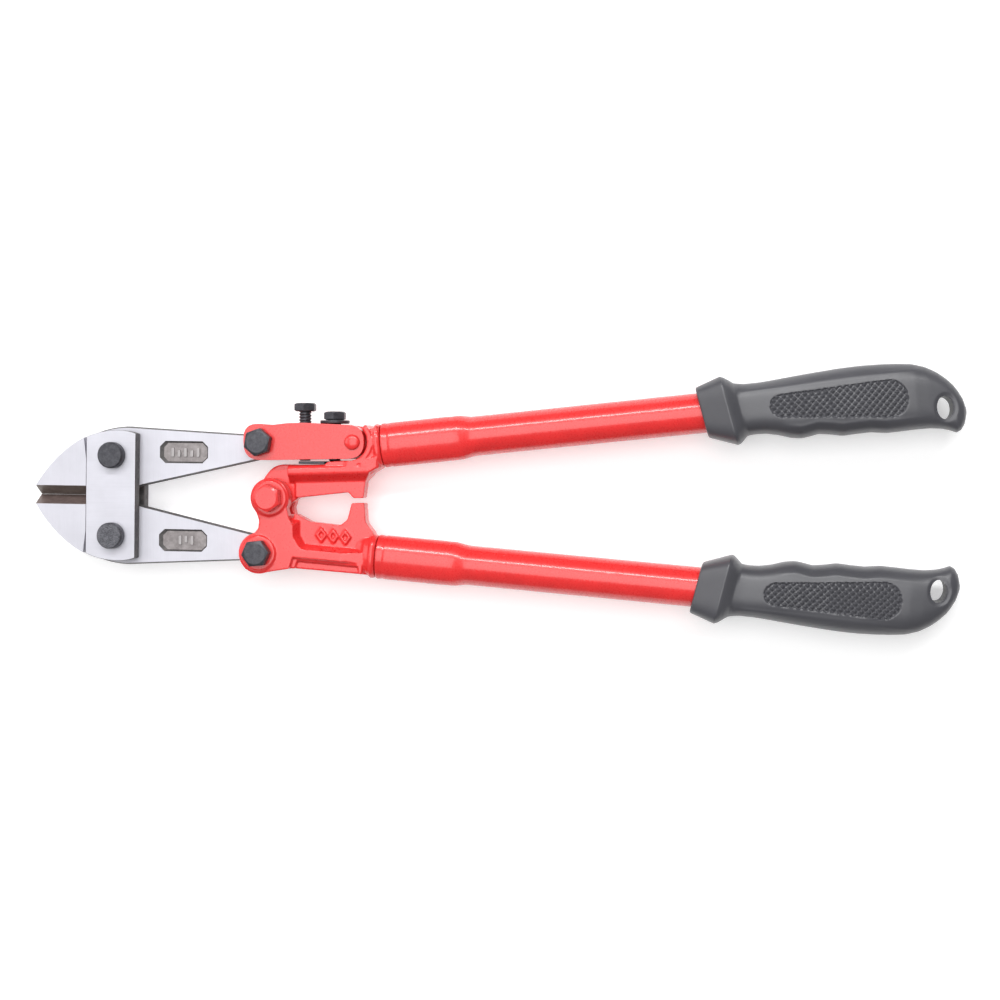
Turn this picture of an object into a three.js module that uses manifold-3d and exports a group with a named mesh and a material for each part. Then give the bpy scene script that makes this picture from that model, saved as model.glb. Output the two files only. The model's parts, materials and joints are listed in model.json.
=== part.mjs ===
// Bolt cutters of the 450 mm class, lying on one side with the jaws closed.
// Millimetres, +Z up. +X runs from the jaw tips to the grips and the tool's middle plane is level.
// Two blades turn between two head plates. Their tails drive the handle brackets, which share a main pivot.
import * as THREE from "three";
import { mergeVertices } from "three/addons/utils/BufferGeometryUtils.js";
import Module from "manifold-3d";

const wasm = await Module();
wasm.setup();

// ---- Layers of the flat stack, as half thicknesses from the middle plane
const GAP = 0.3; // running clearance between touching pieces
const BLADE_HALF = 3; // blade tongue and tail
const CHEEK_INNER = BLADE_HALF + GAP; // inner face of plates, link cheeks and bracket ears
const CHEEK_OUTER = CHEEK_INNER + 6; // outer face of the same, flush with the jaw noses
const BOSS_OUTER = CHEEK_OUTER + 1; // raised ring round a bracket's bolt hole
const REST = 16; // lowest point of nuts and ferrules, on which the tool lies

// ---- Head, in its own frame: the blade pivots lie on x = 0, symmetric about y = 0
const HEAD_RISE = 2; // the head sits this far above the line of the main pivot
const HEAD_LEAN = THREE.MathUtils.degToRad(-0.8);
const BLADE_PIVOT_Y = 19.9;
const TAIL_X = 75.1; // tail bolt holes
const TAIL_Y = 27.1;
const MAIN_X = 80.4; // main pivot, on the head's centre line
const TIP_X = -40.4;
const TIP_Y = 4.6; // where the cutting bevel meets the flat face
const SHOULDER_X = -14.3; // the jaw nose's step against the head plates
const PLATE_RIGHT = 11.6;
const TAIL_EYE = 7.8;
const BLADE_SWING = THREE.MathUtils.degToRad(6.9); // how far each blade opens
const EDGE_DRAFT = 0.9; // forging draft on the nose's outline

// ---- Fasteners
const HEAD_BOLT = { head: 6.5, height: 4.5, chamfer: 0.7, shank: 4.8 };
const HEX_M8 = { across: 12, height: 5.3, shank: 4 };
const HEX_M6 = { across: 10, height: 4.1, shank: 3 };
const WASHER_THICK = 1.5;
const BORE_PLAY = 0.3; // radial room between a shank and its hole

// ---- Adjuster link, in the tool's frame
const RIVET = [121.9, 28];
const LINK_LEFT = 67.3;
const LINK_RIGHT = 127.6;
const LINK_SOLID = [85.5, 115]; // the stretch between its two slots
const ADJUST_X = 96;
const LOCK_X = 111;
const LINK_TOP = 37.5;
const LINK_BOTTOM = 19.6;

// ---- Brackets, in the tool's frame
const FLANGE_TOP = 17.2;
const FLANGE_HALF = 8.6;
const WEB_HALF = 4;
const EAR_MAIN = 9.7;
const EAR_TAIL = 10.1;
const MAIN_EYE = 8.8;
const MAIN_EYE_BORE = 6.8; // wide, because the linkage is opened here

// ---- Handles, each in its own frame: u along the tube from its front end, v away from the other handle
const UPPER_HANDLE = { x: 135.5, y: 26.5, turn: 5.55, side: 1 };
const LOWER_HANDLE = { x: 132.7, y: -27.8, turn: -4.93, side: -1 };
const TUBE_LENGTH = 251;
const TUBE_WALL = 1.6;
const TUBE_RADIUS = 9.6;
const SWAGE = { wide: 10.8, thick: 8.4, end: 37, blend: 46 };
const GRIP_START = 155.3;
const GRIP_BORE_DEPTH = 98;
const HANG_HOLE = { u: 110.2, v: -9.2, wide: 6, tall: 10 };
// Grip sections: [u from the grip's front, outer v, inner v, half thickness]
const GRIP_SECTIONS = [
  [0, 12, -12, 12],
  [12.5, 16, -16.8, REST],
  [14.5, 15.3, -16, 15],
  [18.5, 12.3, -12.8, 12.6],
  [22, 11.5, -12.6, 12.4],
  [28, 11.5, -12.8, 12.6],
  [34, 11.9, -13.9, 13],
  [40, 12.4, -15.9, 13.3],
  [45, 12.8, -16.7, 13.4],
  [49, 13.1, -16.1, 13.4],
  [53, 13.4, -15.4, 13.4],
  [58, 13.7, -16.1, 13.4],
  [64, 14.1, -17.4, 13.4],
  [71, 14.3, -17.1, 13.4],
  [77, 14.3, -17, 13.3],
  [84, 14, -18.1, 13],
  [91, 13.5, -18, 12.6],
  [98, 12.6, -17.8, 12],
  [104, 10.6, -17.9, 11],
  [109, 7.6, -18.6, 10],
  [112.5, 4.6, -19.6, 9.3],
  [115.6, 1.2, -21, 8.6],
  [117.4, -1.6, -20.2, 7.8],
  [119.2, -5.2, -17.6, 6.6],
  [120.4, -9.6, -13.4, 4],
];
const FERRULE_SLANT = 0.17; // the ferrule's rings lean this much along the tube per mm across it

// ---- Finishes
const finish = (color, roughness, metalness) => new THREE.MeshStandardMaterial({ color, roughness, metalness });
const STEEL = finish(0xd9d8e0, 0.32, 1);
const BLACK_OXIDE = finish(0x4a4a50, 0.45, 0.8);
const RED_PAINT = finish(0xe03a36, 0.28, 0);
const GRIP_PLASTIC = finish(0x5c5c62, 0.5, 0);

// ---- Solids

/** A closed three.js geometry as a solid that can be joined and cut. */
function solid(geometry) {
  const bare = geometry.index ? geometry.toNonIndexed() : geometry.clone();
  bare.deleteAttribute("normal");
  bare.deleteAttribute("uv");
  const merged = mergeVertices(bare, 1e-4);
  return new wasm.Manifold(
    new wasm.Mesh({
      numProp: 3,
      vertProperties: new Float32Array(merged.attributes.position.array),
      triVerts: new Uint32Array(merged.index.array),
    }),
  );
}

/** A solid as a named mesh with a finish. */
function piece(name, body, material) {
  const data = body.getMesh();
  const geometry = new THREE.BufferGeometry();
  geometry.setAttribute("position", new THREE.BufferAttribute(data.vertProperties, 3));
  geometry.setIndex(new THREE.BufferAttribute(data.triVerts, 1));
  geometry.computeVertexNormals();
  const mesh = new THREE.Mesh(geometry, material);
  mesh.name = name;
  return mesh;
}

const joined = (...bodies) => bodies.reduce((whole, body) => whole.add(body));
const without = (body, ...cutters) => cutters.reduce((rest, cutter) => rest.subtract(cutter), body);

/** An outline through the given corners, each [x, y, rounding radius]. */
function outline(corners) {
  const shape = new THREE.Shape();
  corners.forEach(([x, y, radius = 0], index) => {
    const here = new THREE.Vector2(x, y);
    const before = new THREE.Vector2(...corners.at(index - 1).slice(0, 2)).sub(here).normalize();
    const after = new THREE.Vector2(...corners[(index + 1) % corners.length].slice(0, 2)).sub(here).normalize();
    const reach = radius / Math.tan(Math.acos(before.dot(after)) / 2);
    const start = here.clone().addScaledVector(before, reach);
    const end = here.clone().addScaledVector(after, reach);
    if (index === 0) shape.moveTo(start.x, start.y);
    else shape.lineTo(start.x, start.y);
    if (radius > 0) shape.quadraticCurveTo(x, y, end.x, end.y);
  });
  return shape;
}

/** A shape stood up between two levels, its sides drawn in by draft towards both faces. */
function slab(shape, bottom, top, draft = 0) {
  const rise = draft > 0 ? (top - bottom) / 2 - 0.4 : 0;
  const geometry = new THREE.ExtrudeGeometry(shape, {
    depth: top - bottom - 2 * rise,
    bevelEnabled: draft > 0,
    bevelThickness: rise,
    bevelSize: draft,
    bevelOffset: -draft,
    bevelSegments: 1,
    curveSegments: 6,
  });
  geometry.translate(0, 0, bottom + rise);
  return solid(geometry);
}

/** An upright cylinder; six sides make a hexagon. */
function disc(x, y, radius, bottom, top, sides = 32, topRadius = radius) {
  const geometry = new THREE.CylinderGeometry(topRadius, radius, top - bottom, sides);
  geometry.rotateX(Math.PI / 2);
  geometry.translate(x, y, (bottom + top) / 2);
  return solid(geometry);
}

/** A cylinder along Y. */
function spindle(x, radius, bottom, top, sides = 24) {
  const geometry = new THREE.CylinderGeometry(radius, radius, top - bottom, sides);
  geometry.translate(x, (bottom + top) / 2, 0);
  return solid(geometry);
}

function box(left, right, near, far, bottom, top) {
  const geometry = new THREE.BoxGeometry(right - left, far - near, top - bottom);
  geometry.translate((left + right) / 2, (near + far) / 2, (bottom + top) / 2);
  return solid(geometry);
}

/** A bar along +X through sections { u, outer, inner, half, slant }, squared off by power. */
function loft(sections, side, sides, power = 2) {
  const geometry = new THREE.CylinderGeometry(1, 1, 1, sides, sections.length - 1);
  const position = geometry.attributes.position;
  const squared = (value) => Math.sign(value) * Math.abs(value) ** (2 / power);
  for (let i = 0; i < position.count; i++) {
    const row = Math.round((0.5 - position.getY(i)) * (sections.length - 1));
    const { u, outer, inner, half, slant = 0 } = sections[row];
    const v = (outer + inner) / 2 + (squared(position.getX(i)) * (outer - inner)) / 2;
    position.setXYZ(i, u - v * slant, side * v, side * squared(position.getZ(i)) * half);
  }
  return geometry;
}

/** Turns a geometry from a handle's frame into the tool's frame. */
function inTool(geometry, handle) {
  geometry.rotateZ(THREE.MathUtils.degToRad(handle.turn));
  geometry.translate(handle.x, handle.y, 0);
  return geometry;
}

/** A point of the head's frame in the tool's frame. */
function fromHead(x, y) {
  const point = new THREE.Vector2(x, y).rotateAround(new THREE.Vector2(), HEAD_LEAN);
  return [point.x, point.y + HEAD_RISE];
}

const UPPER_TAIL = fromHead(TAIL_X, TAIL_Y);
const LOWER_TAIL = fromHead(TAIL_X, -TAIL_Y);
const MAIN = fromHead(MAIN_X, 0);
const hole = ([x, y], radius) => disc(x, y, radius, -REST - 2, REST + 2);

// ---- Fasteners

const hexRadius = (across) => across / Math.sqrt(3);

/** A hexagon-headed bolt that stands upright, with its head above the given level. */
function hexBolt([x, y], level, turn) {
  const head = new THREE.CylinderGeometry(hexRadius(HEX_M8.across), hexRadius(HEX_M8.across), HEX_M8.height, 6);
  head.rotateX(Math.PI / 2);
  head.rotateZ(turn);
  head.translate(x, y, level + GAP + HEX_M8.height / 2);
  const rounding = disc(x, y, HEX_M8.across * 0.57, level + GAP, level + GAP + HEX_M8.height, 32, HEX_M8.across * 0.54);
  const shank = disc(x, y, HEX_M8.shank, -REST, level + GAP + 1);
  return joined(solid(head).intersect(rounding), shank);
}

function headBolt(y) {
  const base = CHEEK_OUTER + GAP;
  const waist = base + HEAD_BOLT.height - HEAD_BOLT.chamfer;
  return joined(
    disc(0, y, HEAD_BOLT.head, base, waist, 40),
    disc(0, y, HEAD_BOLT.head, waist, waist + HEAD_BOLT.chamfer, 40, HEAD_BOLT.head - HEAD_BOLT.chamfer),
    disc(0, y, HEAD_BOLT.shank, -REST, base + 1),
  );
}

function washer([x, y], shank) {
  const top = -CHEEK_OUTER - GAP;
  return without(disc(x, y, shank + 3.4, top - WASHER_THICK, top), hole([x, y], shank + BORE_PLAY));
}

function nut([x, y], shank, across) {
  const top = -CHEEK_OUTER - WASHER_THICK - 2 * GAP;
  return without(disc(x, y, hexRadius(across), -REST + GAP, top, 6), hole([x, y], shank + BORE_PLAY));
}

/** An M6 screw whose axis runs along Y, with its head upwards. */
function screw(x, headBase, tip) {
  const head = new THREE.CylinderGeometry(hexRadius(HEX_M6.across), hexRadius(HEX_M6.across), HEX_M6.height, 6);
  head.rotateY(Math.PI / 7);
  head.translate(x, headBase + HEX_M6.height / 2, 0);
  return joined(solid(head), spindle(x, HEX_M6.shank, tip, headBase + 1));
}

// ---- Head

/** One blade with its pivot at side * BLADE_PIVOT_Y; side is 1 for the upper and -1 for the lower. */
function blade(side) {
  const contact = 0.15;
  const shape = new THREE.Shape();
  shape.moveTo(TIP_X - EDGE_DRAFT, side * contact);
  shape.lineTo(TIP_X - EDGE_DRAFT, side * TIP_Y);
  shape.bezierCurveTo(TIP_X + 7.4, side * 18.6, TIP_X + 23.4, side * 34.5, 6, side * 34.5);
  shape.lineTo(12, side * 34.1);
  shape.lineTo(66, side * 31.2);
  shape.lineTo(TAIL_X, side * 31);
  shape.lineTo(TAIL_X, side * 19);
  shape.lineTo(70.8, side * 18);
  shape.lineTo(12.8, side * 4.9);
  shape.lineTo(2, side * contact);
  const tongue = joined(
    slab(shape, -BLADE_HALF, BLADE_HALF),
    disc(TAIL_X, side * TAIL_Y, TAIL_EYE, -BLADE_HALF, BLADE_HALF),
  );
  const nose = slab(shape, -CHEEK_OUTER, CHEEK_OUTER, EDGE_DRAFT);
  const behindShoulder = box(SHOULDER_X, TAIL_X + 12, -45, 45, -REST, REST);
  const open = without(nose, behindShoulder, ...[-1, 1].map((face) => swungPlate(side, face)));
  const bored = without(
    joined(tongue, open),
    hole([0, side * BLADE_PIVOT_Y], HEAD_BOLT.shank + BORE_PLAY),
    hole([TAIL_X, side * TAIL_Y], HEX_M8.shank + BORE_PLAY),
    pocket(side),
  );
  return [-1, 1].reduce((body, face) => body.subtract(cuttingBevel(side, face)), bored);
}

/** The room that a head plate needs when the blade is open, seen from the blade. */
function swungPlate(side, face) {
  const level = face * (CHEEK_INNER + CHEEK_OUTER + 2) * 0.5;
  const geometry = new THREE.BoxGeometry(30, 80, CHEEK_OUTER - CHEEK_INNER + 2.6);
  geometry.translate(SHOULDER_X + GAP / 2 + 15, -side * BLADE_PIVOT_Y, level);
  geometry.rotateZ(side * BLADE_SWING);
  geometry.translate(0, side * BLADE_PIVOT_Y, 0);
  return solid(geometry);
}

/** The wedge that is ground off one face of a jaw along its cutting edge. */
function cuttingBevel(side, face) {
  const shape = new THREE.Shape();
  shape.moveTo(0, 0);
  shape.lineTo(0, CHEEK_OUTER + 1);
  shape.lineTo(TIP_Y + TIP_Y / CHEEK_OUTER, CHEEK_OUTER + 1);
  const reach = 20;
  const geometry = new THREE.ExtrudeGeometry(shape, { depth: 2 * reach, bevelEnabled: false });
  geometry.translate(0, 0, -reach);
  geometry.rotateX(Math.PI / 2);
  geometry.rotateZ(Math.PI / 2);
  if (side < 0) geometry.rotateX(Math.PI);
  if (side * face < 0) geometry.rotateY(Math.PI);
  return solid(geometry.translate(SHOULDER_X - reach, 0, 0));
}

/** The shallow eight-sided recess in a blade tail's front face. */
function pocket(side) {
  const [left, right, low, high, corner] = [21.9, 46.8, 16.4, 27.4, 2.8];
  const shape = outline([
    [left + corner, side * low],
    [right - corner, side * low],
    [right, side * (low + corner)],
    [right, side * (high - corner)],
    [right - corner, side * high],
    [left + corner, side * high],
    [left, side * (high - corner)],
    [left, side * (low + corner)],
  ]);
  return slab(shape, BLADE_HALF - 1.3, BLADE_HALF + 1);
}

function headPlate(face) {
  const left = SHOULDER_X + GAP;
  const shape = new THREE.Shape();
  shape.moveTo(left, -29);
  shape.bezierCurveTo(left + 6, -31.8, PLATE_RIGHT - 8, -34, PLATE_RIGHT, -30.8);
  shape.lineTo(PLATE_RIGHT, 30.8);
  shape.bezierCurveTo(PLATE_RIGHT - 8, 34, left + 6, 31.8, left, 29);
  const [bottom, top] = face > 0 ? [CHEEK_INNER, CHEEK_OUTER] : [-CHEEK_OUTER, -CHEEK_INNER];
  const bores = [-1, 1].map((side) => hole([0, side * BLADE_PIVOT_Y], HEAD_BOLT.shank + BORE_PLAY));
  return without(slab(shape, bottom, top), ...bores);
}

// ---- Adjuster link and its screws

function adjusterLink() {
  const shape = outline([
    [LINK_LEFT, LINK_BOTTOM - 0.3, 8.8],
    [LINK_RIGHT, LINK_BOTTOM + 0.5, 8],
    [LINK_RIGHT, 36, 8],
    [98, LINK_TOP, 12],
    [LINK_LEFT, LINK_TOP - 0.3, 8.8],
  ]);
  return without(
    slab(shape, -CHEEK_OUTER, CHEEK_OUTER),
    box(LINK_LEFT - 5, LINK_SOLID[0], 0, 60, -CHEEK_INNER, CHEEK_INNER),
    box(LINK_SOLID[1], LINK_RIGHT + 5, 0, 60, -CHEEK_INNER, CHEEK_INNER),
    hole(UPPER_TAIL, HEX_M8.shank + BORE_PLAY),
    hole(RIVET, 3 + BORE_PLAY),
    spindle(ADJUST_X, HEX_M6.shank + BORE_PLAY, 10, 50),
    spindle(LOCK_X, HEX_M6.shank + BORE_PLAY, 10, 50),
  );
}

function linkRivet() {
  const cap = (face) => {
    const level = face * (CHEEK_OUTER + GAP);
    const tip = level + face * 1.8;
    const [bottom, top] = face > 0 ? [level, tip] : [tip, level];
    return disc(...RIVET, face > 0 ? 4.2 : 3, bottom, top, 24, face > 0 ? 3 : 4.2);
  };
  return joined(cap(1), cap(-1), disc(...RIVET, 3, -CHEEK_OUTER - 1, CHEEK_OUTER + 1, 24));
}

const LOCK_WASHER_BASE = LINK_TOP + GAP;

function lockWasher() {
  const ring = spindle(LOCK_X, 7.2, LOCK_WASHER_BASE, LOCK_WASHER_BASE + 1.3, 32);
  return ring.subtract(spindle(LOCK_X, HEX_M6.shank + BORE_PLAY, LOCK_WASHER_BASE - 1, LOCK_WASHER_BASE + 3));
}

// ---- Brackets

/** The stub of a bracket that enters its tube, with the collar that the tube butts on. */
function tang(handle) {
  const flat = (u, wide, thick) => ({ u, outer: wide, inner: -wide, half: thick });
  const stub = loft([flat(-4, 8.7, 6.2), flat(28, 8.7, 6.2), flat(30, 7.6, 5.2)], handle.side, 24);
  const collar = loft([flat(-6.5, 9.6, 7.6), flat(-3, 10.8, 8.8), flat(-GAP, 10.8, 8.8)], handle.side, 32, 2.6);
  return joined(solid(inTool(stub, handle)), solid(inTool(collar, handle)));
}

function upperBracket() {
  const arm = outline([
    [73.2, 4],
    [75.6, 12, 3],
    [82, FLANGE_TOP, 4],
    [130, FLANGE_TOP],
    [130, 10],
    [100, 8],
    [93, 0.6, 1],
    [87.6, -2.6],
  ]);
  const web = outline([
    [93.2, 0.7, 1],
    [118, 3.5, 1],
    [120.9, 0.8, 0.6],
    [126, 0.9, 0.8],
    [127.6, 8.9, 3],
    [131.5, 13.2, 2],
    [133, 17],
    [93.2, 17],
  ]);
  const flange = outline([
    [88.6, 11.4, 0.8],
    [130, 11.4],
    [134, 14.6],
    [134, 36],
    [131.4, 35, 2],
    [128.4, 33.4, 1],
    [128.4, FLANGE_TOP],
    [88.6, FLANGE_TOP, 0.8],
  ]);
  const tongue = outline([
    [RIVET[0], RIVET[1] - 5.6],
    [130, RIVET[1] - 7],
    [130, RIVET[1] + 5],
    [RIVET[0], RIVET[1] + 5.6],
  ]);
  return without(
    joined(
      slab(arm, -BLADE_HALF, BLADE_HALF),
      disc(...MAIN, MAIN_EYE, -BLADE_HALF, BLADE_HALF),
      slab(web, -WEB_HALF, WEB_HALF),
      slab(flange, -FLANGE_HALF, FLANGE_HALF),
      slab(tongue, -BLADE_HALF, BLADE_HALF),
      disc(...RIVET, 5.6, -BLADE_HALF, BLADE_HALF),
      tang(UPPER_HANDLE),
    ),
    hole(MAIN, MAIN_EYE_BORE),
    hole(RIVET, 3 + BORE_PLAY),
    spindle(LOCK_X, HEX_M6.shank + BORE_PLAY, 12, 30),
  );
}

function lowerBracket() {
  const ears = outline([
    [71, 1],
    [75.1, -10, 3],
    [75.1, -14, 2],
    [66, -24],
    [68, -34],
    [79, -35.6, 3],
    [89, -33.2, 5],
    [124, -36.2],
    [124, -27.4],
    [95, -22.4, 3],
    [92, -18, 2],
    [92.2, -11.5, 3],
    [89.8, 1],
  ]);
  const web = outline([
    [91, -6.4, 1],
    [99.2, -10.8, 6],
    [114.4, -12.5, 2],
    [118, -9.8, 2],
    [120.6, -1.6, 0.8],
    [127.2, -2.1, 0.8],
    [128.4, -11.1, 4],
    [131, -16],
    [131, -36.9],
    [92, -33.6],
  ]);
  const slot = joined(
    disc(...MAIN, 11.8, -CHEEK_INNER, CHEEK_INNER),
    box(50, 84.5, -50, 15, -CHEEK_INNER, CHEEK_INNER),
  );
  const bosses = [MAIN, LOWER_TAIL].map((centre) => disc(...centre, 8.4, CHEEK_INNER + 1, BOSS_OUTER, 40));
  return without(
    joined(
      slab(ears, -CHEEK_OUTER, CHEEK_OUTER),
      disc(...MAIN, EAR_MAIN, -CHEEK_OUTER, CHEEK_OUTER, 40),
      disc(...LOWER_TAIL, EAR_TAIL, -CHEEK_OUTER, CHEEK_OUTER, 40),
      slab(web, -WEB_HALF, WEB_HALF),
      tang(LOWER_HANDLE),
      ...bosses,
    ),
    slot,
    hole(MAIN, HEX_M8.shank + BORE_PLAY),
    hole(LOWER_TAIL, HEX_M8.shank + BORE_PLAY),
  );
}

// ---- Handles

function tube(side) {
  const rows = (shrink, start, end) =>
    [
      [start, SWAGE.wide, SWAGE.thick],
      [SWAGE.end, SWAGE.wide, SWAGE.thick],
      [SWAGE.blend, TUBE_RADIUS, TUBE_RADIUS],
      [end, TUBE_RADIUS, TUBE_RADIUS],
    ].map(([u, wide, thick]) => ({ u, outer: wide - shrink, inner: shrink - wide, half: thick - shrink }));
  return without(
    solid(loft(rows(0, 0, TUBE_LENGTH), side, 32)),
    solid(loft(rows(TUBE_WALL, -1, TUBE_LENGTH + 1), side, 32)),
  );
}

function grip(side) {
  const sections = GRIP_SECTIONS.map(([u, outer, inner, half]) => ({
    u: GRIP_START + u,
    outer,
    inner,
    half,
    slant: FERRULE_SLANT * THREE.MathUtils.clamp((32 - u) / 14, 0, 1),
  }));
  const bore = { outer: TUBE_RADIUS + GAP, inner: -TUBE_RADIUS - GAP, half: TUBE_RADIUS + GAP };
  const boreRows = [GRIP_START - 5, GRIP_START + GRIP_BORE_DEPTH].map((u) => ({ u, ...bore }));
  const eye = outline([
    [HANG_HOLE.u - HANG_HOLE.wide / 2, side * (HANG_HOLE.v - HANG_HOLE.tall / 2), 2.8],
    [HANG_HOLE.u + HANG_HOLE.wide / 2, side * (HANG_HOLE.v - HANG_HOLE.tall / 2), 2.8],
    [HANG_HOLE.u + HANG_HOLE.wide / 2, side * (HANG_HOLE.v + HANG_HOLE.tall / 2), 2.8],
    [HANG_HOLE.u - HANG_HOLE.wide / 2, side * (HANG_HOLE.v + HANG_HOLE.tall / 2), 2.8],
  ]);
  const eyeCutter = new THREE.ExtrudeGeometry(eye, { depth: 2 * REST, bevelEnabled: false, curveSegments: 6 });
  eyeCutter.translate(GRIP_START, 0, -REST);
  return without(solid(loft(sections, side, 28, 2.3)), solid(loft(boreRows, side, 32)), solid(eyeCutter));
}

// ---- Assembly

const tool = new THREE.Group();

const head = new THREE.Group();
head.position.y = HEAD_RISE;
head.rotation.z = HEAD_LEAN;
tool.add(head);

head.add(
  piece("upper_blade", blade(1), STEEL),
  piece("lower_blade", blade(-1), STEEL),
  piece("front_head_plate", headPlate(1), STEEL),
  piece("rear_head_plate", headPlate(-1), STEEL),
);
for (const [name, side] of [["upper", 1], ["lower", -1]]) {
  const pivot = [0, side * BLADE_PIVOT_Y];
  head.add(
    piece(`${name}_head_bolt`, headBolt(pivot[1]), BLACK_OXIDE),
    piece(`${name}_head_washer`, washer(pivot, HEAD_BOLT.shank), BLACK_OXIDE),
    piece(`${name}_head_nut`, nut(pivot, HEAD_BOLT.shank, 16), BLACK_OXIDE),
  );
}

for (const [name, centre, level, turn, material] of [
  ["upper_tail", UPPER_TAIL, CHEEK_OUTER, 0.35, BLACK_OXIDE],
  ["lower_tail", LOWER_TAIL, BOSS_OUTER, 0.1, BLACK_OXIDE],
  ["main_pivot", MAIN, BOSS_OUTER, 0.6, RED_PAINT],
]) {
  tool.add(
    piece(`${name}_bolt`, hexBolt(centre, level, turn), material),
    piece(`${name}_washer`, washer(centre, HEX_M8.shank), material),
    piece(`${name}_nut`, nut(centre, HEX_M8.shank, HEX_M8.across), material),
  );
}

tool.add(
  piece("adjuster_link", adjusterLink(), RED_PAINT),
  piece("link_rivet", linkRivet(), RED_PAINT),
  piece("adjusting_bolt", screw(ADJUST_X, 43.4, FLANGE_TOP + 1.6 + GAP), BLACK_OXIDE),
  piece("lock_bolt", screw(LOCK_X, LOCK_WASHER_BASE + 1.3 + GAP, 12.6), BLACK_OXIDE),
  piece("lock_washer", lockWasher(), BLACK_OXIDE),
  piece("adjuster_pad", box(94.4, 107.4, FLANGE_TOP + GAP, FLANGE_TOP + 1.6, -7, 7), BLACK_OXIDE),
  piece("upper_bracket", upperBracket(), RED_PAINT),
  piece("lower_bracket", lowerBracket(), RED_PAINT),
);

for (const [name, handle] of [["upper", UPPER_HANDLE], ["lower", LOWER_HANDLE]]) {
  const group = new THREE.Group();
  group.position.set(handle.x, handle.y, 0);
  group.rotation.z = THREE.MathUtils.degToRad(handle.turn);
  group.add(
    piece(`${name}_tube`, tube(handle.side), RED_PAINT),
    piece(`${name}_grip`, grip(handle.side), GRIP_PLASTIC),
  );
  tool.add(group);
}

// The origin is the middle of the tool's footprint, on the surface that it lies on.
const extent = new THREE.Box3().setFromObject(tool, true);
const centre = extent.getCenter(new THREE.Vector3());
tool.position.set(-centre.x, -centre.y, -extent.min.z);

const boltCutters = new THREE.Group();
boltCutters.add(tool);

export default boltCutters;
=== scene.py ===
"""Bolt cutters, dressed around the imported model: forged blades, painted castings, tubes and moulded grips."""

import json
import logging
import math
from collections.abc import Callable, Sequence
from dataclasses import dataclass, field
from enum import Enum
from typing import Any

import bpy
import numpy as np
from mathutils import Matrix, Vector


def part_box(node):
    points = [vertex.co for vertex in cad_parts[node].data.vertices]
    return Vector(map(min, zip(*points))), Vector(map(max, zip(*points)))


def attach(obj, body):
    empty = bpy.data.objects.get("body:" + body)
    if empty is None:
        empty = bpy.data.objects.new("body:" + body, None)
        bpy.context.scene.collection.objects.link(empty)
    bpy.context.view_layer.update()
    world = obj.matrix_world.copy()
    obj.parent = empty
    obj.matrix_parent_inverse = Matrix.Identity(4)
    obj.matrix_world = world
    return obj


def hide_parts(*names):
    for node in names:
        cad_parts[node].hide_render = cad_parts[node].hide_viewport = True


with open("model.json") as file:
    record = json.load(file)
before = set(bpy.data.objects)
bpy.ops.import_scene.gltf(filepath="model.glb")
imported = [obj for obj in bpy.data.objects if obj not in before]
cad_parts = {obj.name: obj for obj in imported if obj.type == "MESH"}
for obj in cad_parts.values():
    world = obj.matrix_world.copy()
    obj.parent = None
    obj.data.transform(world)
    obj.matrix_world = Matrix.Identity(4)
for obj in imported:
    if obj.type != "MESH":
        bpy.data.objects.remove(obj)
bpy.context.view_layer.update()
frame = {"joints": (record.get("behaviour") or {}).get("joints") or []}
log = logging.getLogger("bolt_cutters")

MM = 0.001  # shapes are modelled in millimetres and scaled to metres when they are placed

# ---- The stack of layers, as heights above the tool's middle plane, in millimetres
GAP = 0.3
BLADE_HALF = 3.0
CHEEK_INNER = BLADE_HALF + GAP
CHEEK_OUTER = CHEEK_INNER + 6.0
BOSS_OUTER = CHEEK_OUTER + 1.0
REST = 16.0
WASHER_THICK = 1.5
HEAD_RISE = 2.0  # the blade pivots' middle above the main pivot's line

# ---- Radii of the plain holes, in millimetres
HEAD_BORE = 5.1
PIN_BORE = 4.3
SCREW_BORE = 3.3
MAIN_EYE_BORE = 6.8

Point = tuple[float, float]
Ring = np.ndarray


# ---- Shader boards


@dataclass(frozen=True)
class Wire:
    """One output socket of a node board, with arithmetic that adds Math nodes."""

    board: "Board"
    socket: bpy.types.NodeSocket

    def math(self, operation: str, *values: Any) -> "Wire":
        """Adds a Math node of the given operation to the values."""
        return self.board.node("ShaderNodeMath", {"operation": operation}, dict(enumerate(values)))

    def __add__(self, other: Any) -> "Wire":
        """Sum."""
        return self.math("ADD", self, other)

    def __radd__(self, other: Any) -> "Wire":
        """Sum with a plain number on the left."""
        return self.math("ADD", other, self)

    def __sub__(self, other: Any) -> "Wire":
        """Difference."""
        return self.math("SUBTRACT", self, other)

    def __rsub__(self, other: Any) -> "Wire":
        """Difference from a plain number."""
        return self.math("SUBTRACT", other, self)

    def __mul__(self, other: Any) -> "Wire":
        """Product."""
        return self.math("MULTIPLY", self, other)

    def __rmul__(self, other: Any) -> "Wire":
        """Product with a plain number on the left."""
        return self.math("MULTIPLY", other, self)

    def __pow__(self, other: Any) -> "Wire":
        """Power."""
        return self.math("POWER", self, other)


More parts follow.
